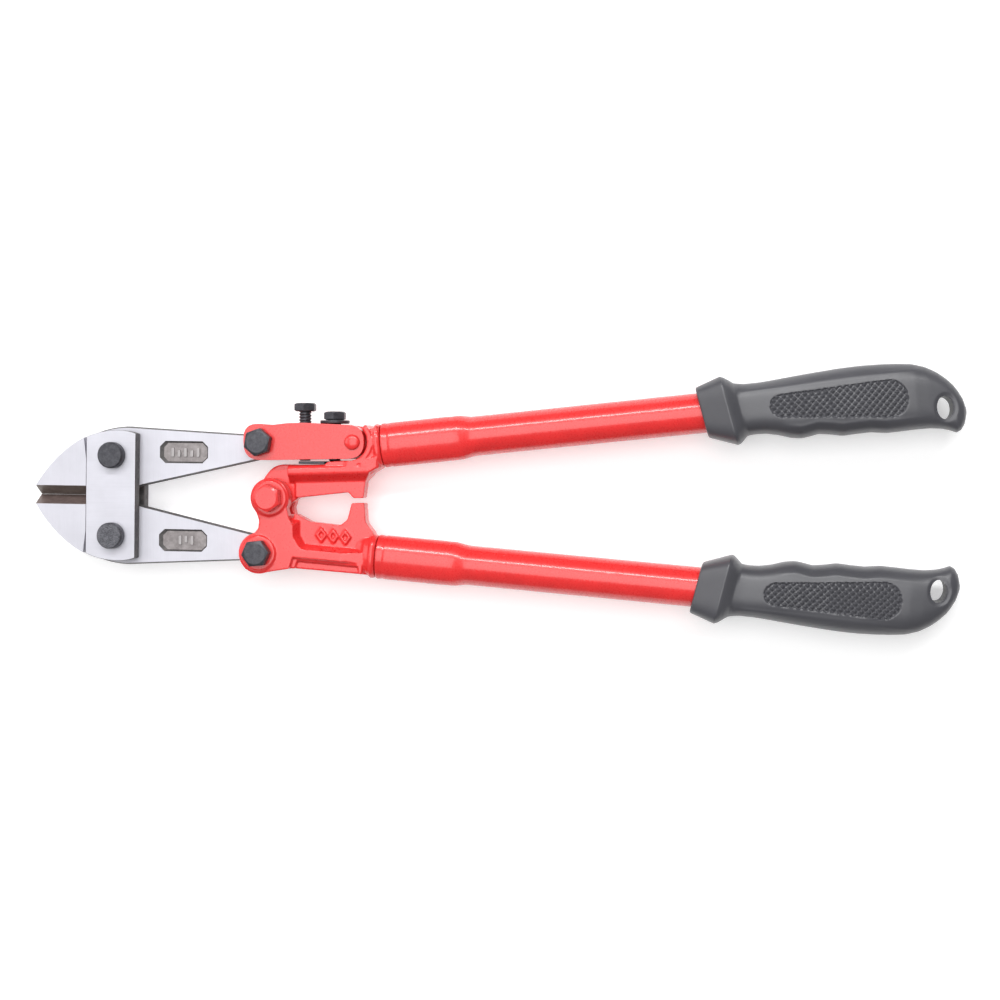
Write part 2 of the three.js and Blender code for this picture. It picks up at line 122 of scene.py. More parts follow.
class Board:
    """The node board of one material, which ends in a Principled shader."""

    def __init__(self, name: str) -> None:
        """Makes an empty material with a Principled shader.

        Args:
            name: the material's name.
        """
        self.material = bpy.data.materials.new(name)
        self.material.use_nodes = True
        self.tree = self.material.node_tree
        self.shader = self.tree.nodes["Principled BSDF"]
        self.place = self.node("ShaderNodeTexCoord", {}, {}, output="Object")

    def node(self, kind: str, settings: dict[str, Any], sockets: dict[Any, Any], output: Any = 0) -> Wire:
        """Adds a node.

        Args:
            kind: the node's type.
            settings: its properties, set before its sockets; "stops" are a colour ramp's.
            sockets: values or wires for its inputs, by name or number.
            output: the name or number of the output that is handed back.

        Returns:
            The chosen output as a wire.
        """
        made = self.tree.nodes.new(kind)
        for key, value in settings.items():
            if key == "stops":
                self._set_stops(made.color_ramp, value)
            else:
                setattr(made, key, value)
        for key, value in sockets.items():
            self._feed(made.inputs[key], value)
        return Wire(self, made.outputs[output])

    def _set_stops(self, ramp: bpy.types.ColorRamp, stops: Sequence[tuple[float, Sequence[float]]]) -> None:
        """Gives a colour ramp its stops, each a place and a colour."""
        while len(ramp.elements) < len(stops):
            ramp.elements.new(0.5)
        for element, (position, colour) in zip(ramp.elements, stops):
            element.position = position
            element.color = (*colour, 1.0)

    def _feed(self, socket: bpy.types.NodeSocket, value: Any) -> None:
        """Links a wire to a socket, or sets its value."""
        if isinstance(value, Wire):
            self.tree.links.new(value.socket, socket)
        else:
            socket.default_value = value

    def set(self, **sockets: Any) -> None:
        """Sets or links the Principled shader's sockets; underscores stand for spaces."""
        for key, value in sockets.items():
            self._feed(self.shader.inputs[key.replace("_", " ")], value)

    def noise(self, scale: float, detail: float = 4.0, stretch: Sequence[float] = (1, 1, 1)) -> Wire:
        """A noise whose scale is in features per metre, stretched along the axes."""
        place = self.node("ShaderNodeMapping", {}, {"Vector": self.place, "Scale": tuple(stretch)})
        sockets = {"Vector": place, "Scale": scale, "Detail": detail, "Roughness": 0.6}
        return self.node("ShaderNodeTexNoise", {}, sockets, output="Fac")

    def ramp(self, factor: Wire, *stops: tuple[float, Sequence[float]]) -> Wire:
        """A colour that runs through the stops as the factor grows."""
        return self.node("ShaderNodeValToRGB", {"stops": stops}, {"Fac": factor}, output="Color")

    def span(self, value: Wire, low: float, high: float, to_low: float, to_high: float) -> Wire:
        """Maps a value from one range to another, clamped."""
        sockets = {0: value, 1: low, 2: high, 3: to_low, 4: to_high}
        return self.node("ShaderNodeMapRange", {"clamp": True}, sockets)

    def bump(self, height: Wire, depth_mm: float, strength: float = 1.0, under: Wire | None = None) -> Wire:
        """A bump of the given depth, on top of another one if there is one."""
        sockets: dict[Any, Any] = {"Height": height, "Distance": depth_mm * MM, "Strength": strength}
        if under is not None:
            sockets["Normal"] = under
        return self.node("ShaderNodeBump", {}, sockets, output="Normal")


# ---- Finishes

Colour = tuple[float, float, float]


class Cut(Enum):
    """The direction that a grinding wheel left its lines in, as stretches along X and Y."""

    ALONG = (1.0, 40.0, 1.0)
    ACROSS = (40.0, 1.0, 1.0)


@dataclass(frozen=True)
class GroundSteel:
    """Flat steel face from a surface grinder, with fine lines and faint clouds."""

    name: str
    colour: Colour = (0.60, 0.595, 0.65)
    roughness: float = 0.42
    cut: Cut = Cut.ACROSS

    def make(self) -> bpy.types.Material:
        """Builds the material."""
        board = Board(self.name)
        lines = board.noise(60.0, 6.0, self.cut.value)
        clouds = board.noise(70.0, 3.0)
        dark = tuple(channel * 0.86 for channel in self.colour)
        tone = board.span(lines * 0.45 + clouds * 0.55, 0.3, 0.7, 0.0, 1.0)
        board.set(
            Base_Color=board.ramp(tone, (0.0, dark), (1.0, self.colour)),
            Metallic=0.32,
            Roughness=board.span(lines, 0.3, 0.7, self.roughness - 0.05, self.roughness + 0.12),
            Normal=board.bump(lines, 0.012, 0.5),
        )
        return board.material


@dataclass(frozen=True)
class ForgedScale:
    """Unground forging skin: dark, rough, mottled oxide."""

    name: str
    colour: Colour = (0.070, 0.067, 0.068)
    light: Colour = (0.125, 0.118, 0.116)
    roughness: float = 0.5

    def make(self) -> bpy.types.Material:
        """Builds the material."""
        board = Board(self.name)
        mottle = board.noise(420.0, 6.0)
        grain = board.noise(2600.0, 3.0)
        tone = board.span(mottle, 0.35, 0.68, 0.0, 1.0)
        board.set(
            Base_Color=board.ramp(tone, (0.0, self.colour), (1.0, self.light)),
            Metallic=0.35,
            Roughness=board.span(grain, 0.3, 0.7, self.roughness - 0.08, self.roughness + 0.15),
            Normal=board.bump(grain, 0.05, 0.5, board.bump(mottle, 0.12, 0.5)),
        )
        return board.material


@dataclass(frozen=True)
class BlackOxide:
    """Blackened steel of bolts, nuts and washers, a little worn."""

    name: str
    colour: Colour = (0.042, 0.042, 0.050)
    worn: Colour = (0.085, 0.085, 0.096)
    mottle: float = 0.4

    def make(self) -> bpy.types.Material:
        """Builds the material."""
        board = Board(self.name)
        clouds = board.noise(520.0, 5.0)
        specks = board.noise(1900.0, 4.0)
        tone = board.span(clouds * (1.0 - self.mottle) + specks * self.mottle, 0.38, 0.64, 0.0, 1.0)
        board.set(
            Base_Color=board.ramp(tone, (0.0, self.colour), (1.0, self.worn)),
            Metallic=0.6,
            Roughness=board.span(specks, 0.3, 0.7, 0.34, 0.52),
            Normal=board.bump(specks, 0.02, 0.4),
        )
        return board.material


@dataclass(frozen=True)
class RedEnamel:
    """Glossy red enamel. On a casting, the sand's grain and thick paint show through."""

    name: str
    colour: Colour = (0.79, 0.030, 0.030)
    cast: float = 1.0

    def make(self) -> bpy.types.Material:
        """Builds the material."""
        board = Board(self.name)
        flow = board.noise(110.0, 3.0)
        sand = board.noise(700.0, 3.0)
        deep = tuple(channel * 0.88 for channel in self.colour)
        tone = board.span(flow, 0.3, 0.7, 0.0, 1.0)
        peel = board.bump(flow, 0.14 * self.cast + 0.04, 0.5)
        board.set(
            Base_Color=board.ramp(tone, (0.0, deep), (1.0, self.colour)),
            Roughness=board.span(sand, 0.3, 0.7, 0.24, 0.32 + 0.06 * self.cast),
            Coat_Weight=0.4,
            Coat_Roughness=0.07,
            Normal=board.bump(sand, 0.016 * self.cast + 0.001, 0.5, peel),
        )
        return board.material


@dataclass(frozen=True)
class GripPlastic:
    """Moulded grey vinyl with a fine spark-eroded texture."""

    name: str
    colour: Colour = (0.052, 0.052, 0.060)

    def make(self) -> bpy.types.Material:
        """Builds the material."""
        board = Board(self.name)
        cloud = board.noise(60.0, 3.0)
        texture = board.noise(3200.0, 3.0)
        light = tuple(channel * 1.16 for channel in self.colour)
        tone = board.span(cloud * 0.7 + texture * 0.3, 0.35, 0.65, 0.0, 1.0)
        board.set(
            Base_Color=board.ramp(tone, (0.0, self.colour), (1.0, light)),
            Roughness=board.span(texture, 0.3, 0.7, 0.36, 0.48),
            Normal=board.bump(texture, 0.02, 0.35),
        )
        board.shader.inputs["Specular IOR Level"].default_value = 0.75
        return board.material


@dataclass(frozen=True)
class StudioPaper:
    """The pale, faintly lit sheet that the tool lies on."""

    name: str = "studio_paper"
    colour: Colour = (0.74, 0.74, 0.74)
    glow: float = 0.42

    def make(self) -> bpy.types.Material:
        """Builds the material."""
        board = Board(self.name)
        board.set(Base_Color=(*self.colour, 1.0), Roughness=0.9)
        board.shader.inputs["Specular IOR Level"].default_value = 0.1
        board.shader.inputs["Emission Color"].default_value = (1, 1, 1, 1)
        board.shader.inputs["Emission Strength"].default_value = self.glow
        return board.material


# ---- The bench: Blender's modelling tools


def clear_bench() -> None:
    """Leaves edit mode and deselects everything."""
    active = bpy.context.view_layer.objects.active
    if active is not None and active.mode != "OBJECT":
        bpy.ops.object.mode_set(mode="OBJECT")
    bpy.ops.object.select_all(action="DESELECT")


def pick(obj: bpy.types.Object) -> bpy.types.Object:
    """Selects one object alone and makes it active."""
    clear_bench()
    obj.select_set(True)
    bpy.context.view_layer.objects.active = obj
    return obj


def smooth(obj: bpy.types.Object, degrees: float) -> bpy.types.Object:
    """Shades a piece smooth wherever its faces meet at less than an angle."""
    pick(obj)
    bpy.ops.object.shade_smooth_by_angle(angle=math.radians(degrees))
    return obj


def block(low: Sequence[float], high: Sequence[float]) -> bpy.types.Object:
    """A box between two corners."""
    clear_bench()
    middle = [(a + b) / 2 for a, b in zip(low, high)]
    bpy.ops.mesh.primitive_cube_add(size=1, location=middle)
    obj = bpy.context.object
    obj.scale = [b - a for a, b in zip(low, high)]
    bpy.ops.object.transform_apply(location=True, rotation=True, scale=True)
    return obj


def rod(centre: Point, radius: float, bottom: float, top: float, sides: int = 64) -> bpy.types.Object:
    """An upright cylinder, or a prism with few sides."""
    clear_bench()
    middle = (*centre, (bottom + top) / 2)
    bpy.ops.mesh.primitive_cylinder_add(vertices=sides, radius=radius, depth=top - bottom, location=middle)
    bpy.ops.object.transform_apply(location=True, rotation=True, scale=True)
    return bpy.context.object


def cross_rod(x: float, radius: float, start: float, end: float, sides: int = 48) -> bpy.types.Object:
    """A cylinder that lies along Y in the middle plane."""
    clear_bench()
    turn = (math.pi / 2, 0, 0)
    place = (x, (start + end) / 2, 0)
    bpy.ops.mesh.primitive_cylinder_add(
        vertices=sides, radius=radius, depth=end - start, location=place, rotation=turn
    )
    bpy.ops.object.transform_apply(location=True, rotation=True, scale=True)
    return bpy.context.object


def rounded(corners: Sequence[Sequence[float]], steps: int = 8) -> list[Point]:
    """An outline through corners, each x, y and a rounding radius.

    Args:
        corners: the corners in order.
        steps: how many points a rounding takes.

    Returns:
        The outline's points.
    """
    points: list[Point] = []
    for index, (x, y, radius) in enumerate(corners):
        here = Vector((x, y))
        before = (Vector(corners[index - 1][:2]) - here).normalized()
        after = (Vector(corners[(index + 1) % len(corners)][:2]) - here).normalized()
        if radius <= 0:
            points.append((x, y))
            continue
        reach = radius / math.tan(before.angle(after) / 2)
        start, end = here + before * reach, here + after * reach
        for step in range(steps + 1):
            t = step / steps
            point = start * (1 - t) ** 2 + here * 2 * t * (1 - t) + end * t * t
            points.append((point.x, point.y))
    return points


def bezier(points: Sequence[Point], steps: int, start: float = 0.0) -> list[Point]:
    """Points on a cubic curve with four control points, from a share of the way along it."""
    controls = [Vector(point) for point in points]
    found = []
    for step in range(steps + 1):
        t = start + (1 - start) * step / steps
        weights = ((1 - t) ** 3, 3 * t * (1 - t) ** 2, 3 * t * t * (1 - t), t**3)
        total = sum((control * weight for control, weight in zip(controls, weights)), Vector((0, 0)))
        found.append((total.x, total.y))
    return found


def slab(outline: Sequence[Point], bottom: float, top: float, draft: float = 0.0) -> bpy.types.Object:
    """A plate of the given outline. With draft, its sides lean in towards both faces.

    Args:
        outline: the outline's points.
        bottom: the lower face's level.
        top: the upper face's level.
        draft: how far each face's outline lies inside the middle one.

    Returns:
        The plate.
    """
    clear_bench()
    middle, land = (bottom + top) / 2, 0.3
    low, high = (middle - land, middle + land) if draft else (bottom, top)
    bpy.ops.mesh.primitive_circle_add(vertices=len(outline), radius=1, fill_type="NGON", location=(0, 0, 0))
    obj = bpy.context.object
    for vertex, (x, y) in zip(obj.data.vertices, outline):
        vertex.co = (x, y, low)
    bpy.ops.object.mode_set(mode="EDIT")
    bpy.ops.mesh.select_mode(type="FACE")
    bpy.ops.mesh.select_all(action="SELECT")
    bpy.ops.mesh.extrude_region_move(TRANSFORM_OT_translate={"value": (0, 0, high - low)})
    bpy.ops.mesh.select_all(action="SELECT")
    bpy.ops.mesh.normals_make_consistent(inside=False)
    if draft:
        bpy.ops.object.mode_set(mode="OBJECT")
        for polygon in obj.data.polygons:
            polygon.select = abs(polygon.normal.z) > 0.9
        bpy.ops.object.mode_set(mode="EDIT")
        bpy.ops.mesh.inset(thickness=draft, depth=(top - bottom) / 2 - land, use_individual=True)
    bpy.ops.object.mode_set(mode="OBJECT")
    return obj


def skin(rings: Sequence[Ring]) -> bpy.types.Object:
    """A closed skin through rings of equally many points. A ring of equal points closes an end.

    Args:
        rings: arrays of points, one row each.

    Returns:
        The skinned piece, its faces outwards.
    """
    clear_bench()
    count = len(rings[0])
    bpy.ops.mesh.primitive_grid_add(x_subdivisions=count, y_subdivisions=len(rings) - 1, size=1)
    obj = bpy.context.object
    wrapped = np.concatenate([np.vstack([ring, ring[:1]]) for ring in rings])
    obj.data.vertices.foreach_set("co", wrapped.astype(np.float32).ravel())
    bpy.ops.object.mode_set(mode="EDIT")
    bpy.ops.mesh.select_all(action="SELECT")
    bpy.ops.mesh.remove_doubles(threshold=1e-4)
    bpy.ops.mesh.normals_make_consistent(inside=False)
    bpy.ops.object.mode_set(mode="OBJECT")
    return obj


def capped(rings: Sequence[Ring]) -> bpy.types.Object:
    """A closed skin through rings, each end drawn in to the middle of its last ring."""
    first, last = (np.repeat(end.mean(axis=0, keepdims=True), len(end), axis=0) for end in (rings[0], rings[-1]))
    return skin([first, *rings, last])


def work(obj: bpy.types.Object, kind: str, **settings: Any) -> bpy.types.Object:
    """Adds a modifier with its settings and applies it."""
    pick(obj)
    modifier = obj.modifiers.new(kind.lower(), kind)
    for key, value in settings.items():
        setattr(modifier, key, value)
    bpy.ops.object.modifier_apply(modifier=modifier.name)
    return obj


def combine(obj: bpy.types.Object, operation: str, others: Sequence[bpy.types.Object]) -> bpy.types.Object:
    """Joins, cuts or trims a piece with others, which are used up."""
    for other in others:
        work(obj, "BOOLEAN", operation=operation, object=other, solver="EXACT")
        bpy.data.objects.remove(other)
    return obj


def cut(obj: bpy.types.Object, *others: bpy.types.Object) -> bpy.types.Object:
    """Cuts the others out of a piece."""
    return combine(obj, "DIFFERENCE", others)


def fuse(obj: bpy.types.Object, *others: bpy.types.Object) -> bpy.types.Object:
    """Joins the others to a piece."""
    return combine(obj, "UNION", others)


def trim(obj: bpy.types.Object, *others: bpy.types.Object) -> bpy.types.Object:
    """Keeps only what a piece shares with the others."""
    return combine(obj, "INTERSECT", others)


def break_edges(
    obj: bpy.types.Object, width: float, segments: int = 3, angle: float = 30.0
) -> bpy.types.Object:
    """Rounds a machined piece's edges and evens the shading of its flats."""
    work(
        obj,
        "BEVEL",
        width=width,
        segments=segments,
        limit_method="ANGLE",
        angle_limit=math.radians(angle),
        miter_outer="MITER_ARC",
        use_clamp_overlap=True,
    )
    return work(smooth(obj, angle), "WEIGHTED_NORMAL", keep_sharp=True, weight=80)


def cast(obj: bpy.types.Object, voxel: float = 0.4, rounds: int = 4, keep: float = 0.5) -> bpy.types.Object:
    """Turns crisp joined blocks into a casting, with fillets in its corners and soft edges."""
    work(obj, "REMESH", mode="VOXEL", voxel_size=voxel)
    work(obj, "SMOOTH", factor=0.5, iterations=rounds)
    work(obj, "DECIMATE", ratio=keep)
    pick(obj)
    bpy.ops.object.shade_smooth()
    return obj


# ---- Placing and dressing


def joint(name: str) -> Vector:
    """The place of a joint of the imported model, in metres."""
    found = next(entry for entry in frame["joints"] if entry["name"] == name)
    return Vector(found["pos_m"])


def middle_of(node: str) -> Vector:
    """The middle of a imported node's box."""
    low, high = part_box(node)
    return (low + high) / 2


@dataclass(frozen=True)
class Bed:
    """A working frame on the tool's middle plane: where its origin lies, and how it is turned."""

    origin: Vector
    turn: float = 0.0

    def matrix(self) -> Matrix:
        """From this frame's millimetres to the model's metres."""
        return Matrix.Translation(self.origin) @ Matrix.Rotation(self.turn, 4, "Z") @ Matrix.Scale(MM, 4)

    def inside(self, point: Vector) -> Point:
        """A point of the model in this frame, in millimetres."""
        local = self.matrix().inverted() @ point
        return (local.x, local.y)

    def within(self, x: float, y: float, turn: float) -> "Bed":
        """A frame given by its place and turn in this one."""
        return Bed(self.matrix() @ Vector((x, y, 0)), self.turn + turn)


@dataclass(frozen=True)
class Dress:
    """How a finished piece joins the model."""

    name: str
    body: str
    slot: str
    node: str
    finish: bpy.types.Material | None = None


def deliver(obj: bpy.types.Object, bed: Bed, dress: Dress) -> bpy.types.Object:
    """Places a piece in the model, names it and makes it ride on its body.

    Args:
        obj: the piece, in its bed's millimetres.
        bed: the frame that it was modelled in.
        dress: its name, body, slot, the node that it stands for, and its finish if it isn't painted yet.

    Returns:
        The piece.
    """
    pick(obj)
    obj.data.transform(bed.matrix())
    obj.name = dress.name
    obj.data.name = dress.name
    if dress.finish is not None:
        obj.data.materials.append(dress.finish)
    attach(obj, dress.body)
    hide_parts(dress.node)
    log.info("%s: %d faces on %s", dress.name, len(obj.data.polygons), dress.body)
    return obj


def paint_faces(
    obj: bpy.types.Object,
    finishes: Sequence[bpy.types.Material],
    chooser: Callable[[bpy.types.MeshPolygon], int],
) -> None:
    """Gives each face one of the finishes, by number."""
    for finish in finishes:
        obj.data.materials.append(finish)
    for polygon in obj.data.polygons:
        polygon.material_index = chooser(polygon)


def tool_bed() -> Bed:
    """The tool's frame: x from the blade pivots, y from the main pivot's line."""
    upper, lower = joint("upper_blade_pivot"), joint("lower_blade_pivot")
    middle = (upper + lower) / 2
    return Bed(middle - Vector((0, HEAD_RISE * MM, 0)))


def head_bed() -> Bed:
    """The head's frame: the blade pivots lie on its y axis."""
    upper, lower = joint("upper_blade_pivot"), joint("lower_blade_pivot")
    lean = math.atan2(lower.x - upper.x, upper.y - lower.y)
    return Bed((upper + lower) / 2, lean)


def shifted(obj: bpy.types.Object, x: float, y: float, degrees: float) -> bpy.types.Object:
    """Turns a piece about Z and moves it, in its mesh."""
    obj.data.transform(Matrix.Translation((x, y, 0)) @ Matrix.Rotation(math.radians(degrees), 4, "Z"))
    return obj


def along_x(profile: Sequence[Point], start: float, end: float) -> bpy.types.Object:
    """A bar along X whose section is an outline in Y and Z."""
    made = slab(profile, start, end)
    made.data.transform(Matrix(((0, 0, 1, 0), (1, 0, 0, 0), (0, 1, 0, 0), (0, 0, 0, 1))))
    return made


def upright(obj: bpy.types.Object) -> bpy.types.Object:
    """Turns a piece so that what was along Z is along Y."""
    obj.data.transform(Matrix.Rotation(math.radians(-90), 4, "X"))
    return obj


def polar(radius: float, count: int, start: float = 0.0) -> list[Point]:
    """Points evenly round a circle."""
    angles = [start + 2 * math.pi * step / count for step in range(count)]
    return [(radius * math.cos(angle), radius * math.sin(angle)) for angle in angles]


def lathe(profile: Sequence[Point], sides: int = 64) -> bpy.types.Object:
    """A turned piece about Z. The profile is radius and height; one that ends at its start makes a ring."""
    circle = np.array(polar(1.0, sides))
    rings = [np.column_stack([circle * radius, np.full(sides, height)]) for radius, height in profile]
    return skin(rings)


def bar(rows: Sequence[Sequence[float]], side: int, power: float = 2.0, count: int = 72) -> bpy.types.Object:
    """A closed bar along X through sections.

    Args:
        rows: sections, each a place, an outer and an inner edge and half a thickness.
        side: 1 if the outer edge is towards +Y, else -1.
        power: how square the section is; 2 is an ellipse.
        count: points round the section.

    Returns:
        The bar.
    """
    angles = np.arange(count) * 2 * math.pi / count
    across = np.sign(np.cos(angles)) * np.abs(np.cos(angles)) ** (2 / power)
    up = np.sign(np.sin(angles)) * np.abs(np.sin(angles)) ** (2 / power)
    rings = []
    for place, outer, inner, half in rows:
        reach = (outer + inner) / 2 + across * (outer - inner) / 2
        rings.append(np.column_stack([np.full(count, place), side * reach, up * half]))
    return capped(rings)


# ---- Fasteners


@dataclass(frozen=True)
class HexSize:
    """A hexagon fastener's sizes."""

    across: float
    height: float
    shank: float


M8 = HexSize(12.0, 5.3, 4.0)
M6 = HexSize(10.0, 4.1, 3.0)
M10_NUT = HexSize(16.0, 4.3, 4.8)


def hex_block(size: HexSize, bottom: float, top: float, turn: float, both: bool = False) -> bpy.types.Object:
    """A hexagon whose corners are turned off in a cone, at the top or at both faces."""
    radius = size.across / math.sqrt(3)
    block_of_six = slab(polar(radius, 6, turn), bottom, top)
    land, rim = size.across * 0.43, radius + 0.02
    drop = (radius - land) * 0.5
    low = [(land, bottom), (rim, bottom + drop)] if both else [(rim, bottom)]
    cone = lathe([(0, bottom), *low, (rim, top - drop), (land, top), (0, top)], 96)
    return break_edges(trim(block_of_six, cone), 0.14, 2, 20)


def washer_face(size: HexSize, seat: float, height: float, sides: int) -> bpy.types.Object:
    """The round land under a hexagon head."""
    rims = (size.across * 0.46, size.across * 0.47)
    return lathe([(0, seat), (rims[0], seat), (rims[1], seat + height), (0, seat + height)], sides)


def hex_bolt(size: HexSize, seat: float, end: float, turn: float) -> bpy.types.Object:
    """A hexagon bolt that stands upright: head above its seat, washer face below it, and shank."""
    head = hex_block(size, seat + 0.35, seat + size.height, turn)
    chamfer, root = 0.7, seat + 0.2
    profile = [(0, end), (size.shank - chamfer, end), (size.shank, end + chamfer), (size.shank, root), (0, root)]
    return merged(head, washer_face(size, seat, 0.5, 72), lathe(profile, 48))


def merged(*pieces: bpy.types.Object) -> bpy.types.Object:
    """Joins closed bodies into one piece without cutting them."""
    clear_bench()
    for each in pieces:
        each.select_set(True)
    bpy.context.view_layer.objects.active = pieces[0]
    bpy.ops.object.join()
    return pieces[0]


def threaded_rod(radius: float, start: float, end: float, pitch: float = 1.5) -> bpy.types.Object:
    """A rod with a true helical thread along Z."""
    sides, steps = 32, 12
    angles = np.arange(sides) * 2 * math.pi / sides
    rings = []
    for height in np.arange(start, end + 1e-6, pitch / steps):
        wave = np.abs(2 * ((height / pitch - angles / (2 * math.pi)) % 1.0) - 1)
        taper = min(1.0, (height - start) / 0.8 + 0.25)
        reach = radius - 0.36 * pitch * np.clip(wave * 2.2 - 1.0, 0, 1)
        reach = reach * (0.8 + 0.2 * taper)
        rings.append(np.column_stack([reach * np.cos(angles), reach * np.sin(angles), np.full(sides, height)]))
    return smooth(capped(rings), 24)


def set_screw(size: HexSize, seat: float, tip: float) -> bpy.types.Object:
    """A fully threaded hexagon screw along Y, head upwards."""
    head = hex_block(size, seat + 0.3, seat + size.height, math.pi / 5)
    face = washer_face(size, seat, 0.45, 64)
    return upright(merged(head, face, threaded_rod(size.shank, tip, seat + 0.4)))


def washer(inner: float, outer: float, bottom: float, top: float) -> bpy.types.Object:
    """A flat punched washer: one rim is rolled over, the other is sharp."""
    roll = 0.35
    profile = [
        (inner, bottom + roll), (inner, top - 0.1), (inner + 0.1, top), (outer - 0.1, top),
        (outer, top - 0.1), (outer, bottom + roll), (outer - roll * 0.3, bottom + roll * 0.3),
        (outer - roll, bottom), (inner + 0.15, bottom), (inner, bottom + 0.15),
    ]
    return smooth(lathe([*profile, profile[0]], 72), 35)


def hex_nut(size: HexSize, bottom: float, top: float, turn: float) -> bpy.types.Object:
    """A nut, chamfered at both faces, with a countersunk bore."""
    nut = hex_block(size, bottom, top, turn, both=True)
    bore = lathe(
        [
            (0, bottom - 1), (size.shank + 1.6, bottom - 1), (size.shank + 0.12, bottom + 0.5),
            (size.shank + 0.12, top + 1), (0, top + 1),
        ],
        48,
    )
    return cut(nut, bore)


# ---- Head: blades, plates and their bolts


@dataclass(frozen=True)
class Blade:
    """One forged blade, in the head's frame; side is 1 for the upper one and -1 for the lower."""

    side: int
    name: str
    marks: tuple[float, ...]  # where the raised marks stand in the recess
    pivot_y: float = 19.9
    tail: Point = (75.1, 27.1)
    eye: float = 7.8
    tip: Point = (-40.4, 4.6)
    shoulder: float = -14.08
    draft: float = 0.9
    contact: float = 0.04
    swing: float = 6.9
    recess: tuple[float, float, float, float] = (21.9, 46.8, 16.4, 27.4)
    recess_corner: float = 2.8
    recess_depth: float = 1.3
    mark_rows: tuple[float, float] = (19.6, 24.0)

    def outline(self) -> list[Point]:
        """The blade's outline from tip to tail and back along the inner edge."""
        front, height = self.tip[0] - self.draft, self.tip[1]
        crown = bezier([(front, height), (-33.0, 18.6), (-17.0, 34.5), (6.0, 34.5)], 36)
        tail = [(12.0, 34.1), (66.0, 31.2), (self.tail[0], 31.0), (self.tail[0], 19.0), (70.8, 18.0)]
        inner = [(12.8, 4.9), (-2.0, self.contact)]
        points = [(front, self.contact), *crown, *tail, *inner]
        ordered = [(x, self.side * y) for x, y in points]
        return ordered if self.side < 0 else ordered[::-1]

    def bevel_cutter(self, face: int) -> bpy.types.Object:
        """The wedge that is ground off one face along the cutting edge."""
        top = CHEEK_OUTER + 1.0
        reach = self.tip[1] * top / CHEEK_OUTER
        profile = [(-30.0, 0.0), (0.0, 0.0), (reach, top), (-30.0, top)]
        wedge = slab(profile, self.tip[0] - 8.0, self.shoulder + 8.0)
        turn = Matrix(((0, 0, 1, 0), (self.side, 0, 0, 0), (0, face, 0, 0), (0, 0, 0, 1)))
        wedge.data.transform(turn)
        pick(wedge)
        bpy.ops.object.mode_set(mode="EDIT")
        bpy.ops.mesh.select_all(action="SELECT")
        bpy.ops.mesh.normals_make_consistent(inside=False)
        bpy.ops.object.mode_set(mode="OBJECT")
        return wedge

    def recess_cutter(self) -> bpy.types.Object:
        """The shape of the shallow eight-sided recess, with sloping walls."""
        left, right, low, high = self.recess
        corner = self.recess_corner
        points = [
            (left + corner, low), (right - corner, low), (right, low + corner), (right, high - corner),
            (right - corner, high), (left + corner, high), (left, high - corner), (left, low + corner),
        ]
        mirrored = [(x, self.side * y) for x, y in points]
        cutter = slab(mirrored, BLADE_HALF - self.recess_depth, BLADE_HALF + self.recess_depth, 0.85)
        for vertex in cutter.data.vertices:
            if vertex.co.z < BLADE_HALF - 0.5 and vertex.co.x < left + corner + 1.2:
                vertex.co.x += 0.9
        return cutter

    def swung_plate(self, face: int) -> bpy.types.Object:
        """The room that a head plate needs when the blade is open."""
        left = self.shoulder - GAP / 2
        low, high = sorted((face * (CHEEK_INNER - 0.3), face * (CHEEK_OUTER + 2)))
        room = block((left, -40, low), (left + 30, 40, high))
        pivot = Vector((0, self.side * self.pivot_y, 0))
        room.data.transform(Matrix.Translation((0, -self.side * self.pivot_y, 0)))
        room.data.transform(
            Matrix.Translation(pivot) @ Matrix.Rotation(math.radians(self.side * self.swing), 4, "Z")
        )
        return room

    def shape(self) -> bpy.types.Object:
        """The finished blade."""
        nose = slab(self.outline(), -CHEEK_OUTER, CHEEK_OUTER, self.draft)
        cut(nose, block((self.shoulder, -45, -REST), (self.tail[0] + 12, 45, REST)))
        cut(nose, *[self.swung_plate(face) for face in (-1, 1)])
        tongue = slab(self.outline(), -BLADE_HALF, BLADE_HALF, 0.8)
        fuse(tongue, rod((self.tail[0], self.side * self.tail[1]), self.eye, -BLADE_HALF, BLADE_HALF, 72))
        body = fuse(tongue, nose)
        return cut(
            body,
            rod((0, self.side * self.pivot_y), HEAD_BORE, -REST, REST),
            rod((self.tail[0], self.side * self.tail[1]), PIN_BORE, -REST, REST),
            self.recess_cutter(),
            *[self.bevel_cutter(face) for face in (-1, 1)],
        )

    def finish_faces(self, body: bpy.types.Object, steel: "Finishes") -> None:
        """Ground flats, dark forged sides, brown hardened cutting bevels and a dull recess floor."""
        left, right, low, high = self.recess
        steep = CHEEK_OUTER / math.hypot(CHEEK_OUTER, self.tip[1])

        def chooser(polygon: bpy.types.MeshPolygon) -> int:
            """The finish of one face."""
            normal, centre = polygon.normal, polygon.center
            height = self.side * centre.y
            in_recess = left <= centre.x <= right and low <= height <= high and centre.z > 0
            if in_recess and abs(centre.z - BLADE_HALF) > 0.02:
                return 3 if normal.z > 0.9 else 1
            on_shoulder = normal.x > 0.9 and abs(centre.x - self.shoulder) < 2.5
            if abs(normal.z) > 0.9 or on_shoulder:
                return 0
            along_edge = abs(abs(normal.y) - steep) < 0.03 and abs(normal.x) < 0.05
            return 2 if along_edge and centre.x < self.shoulder + 1 and height < self.tip[1] + 1 else 1

        finishes = (steel.ground, steel.forged, steel.bevel_of[self.side], steel.recess_floor)
        paint_faces(body, finishes, chooser)

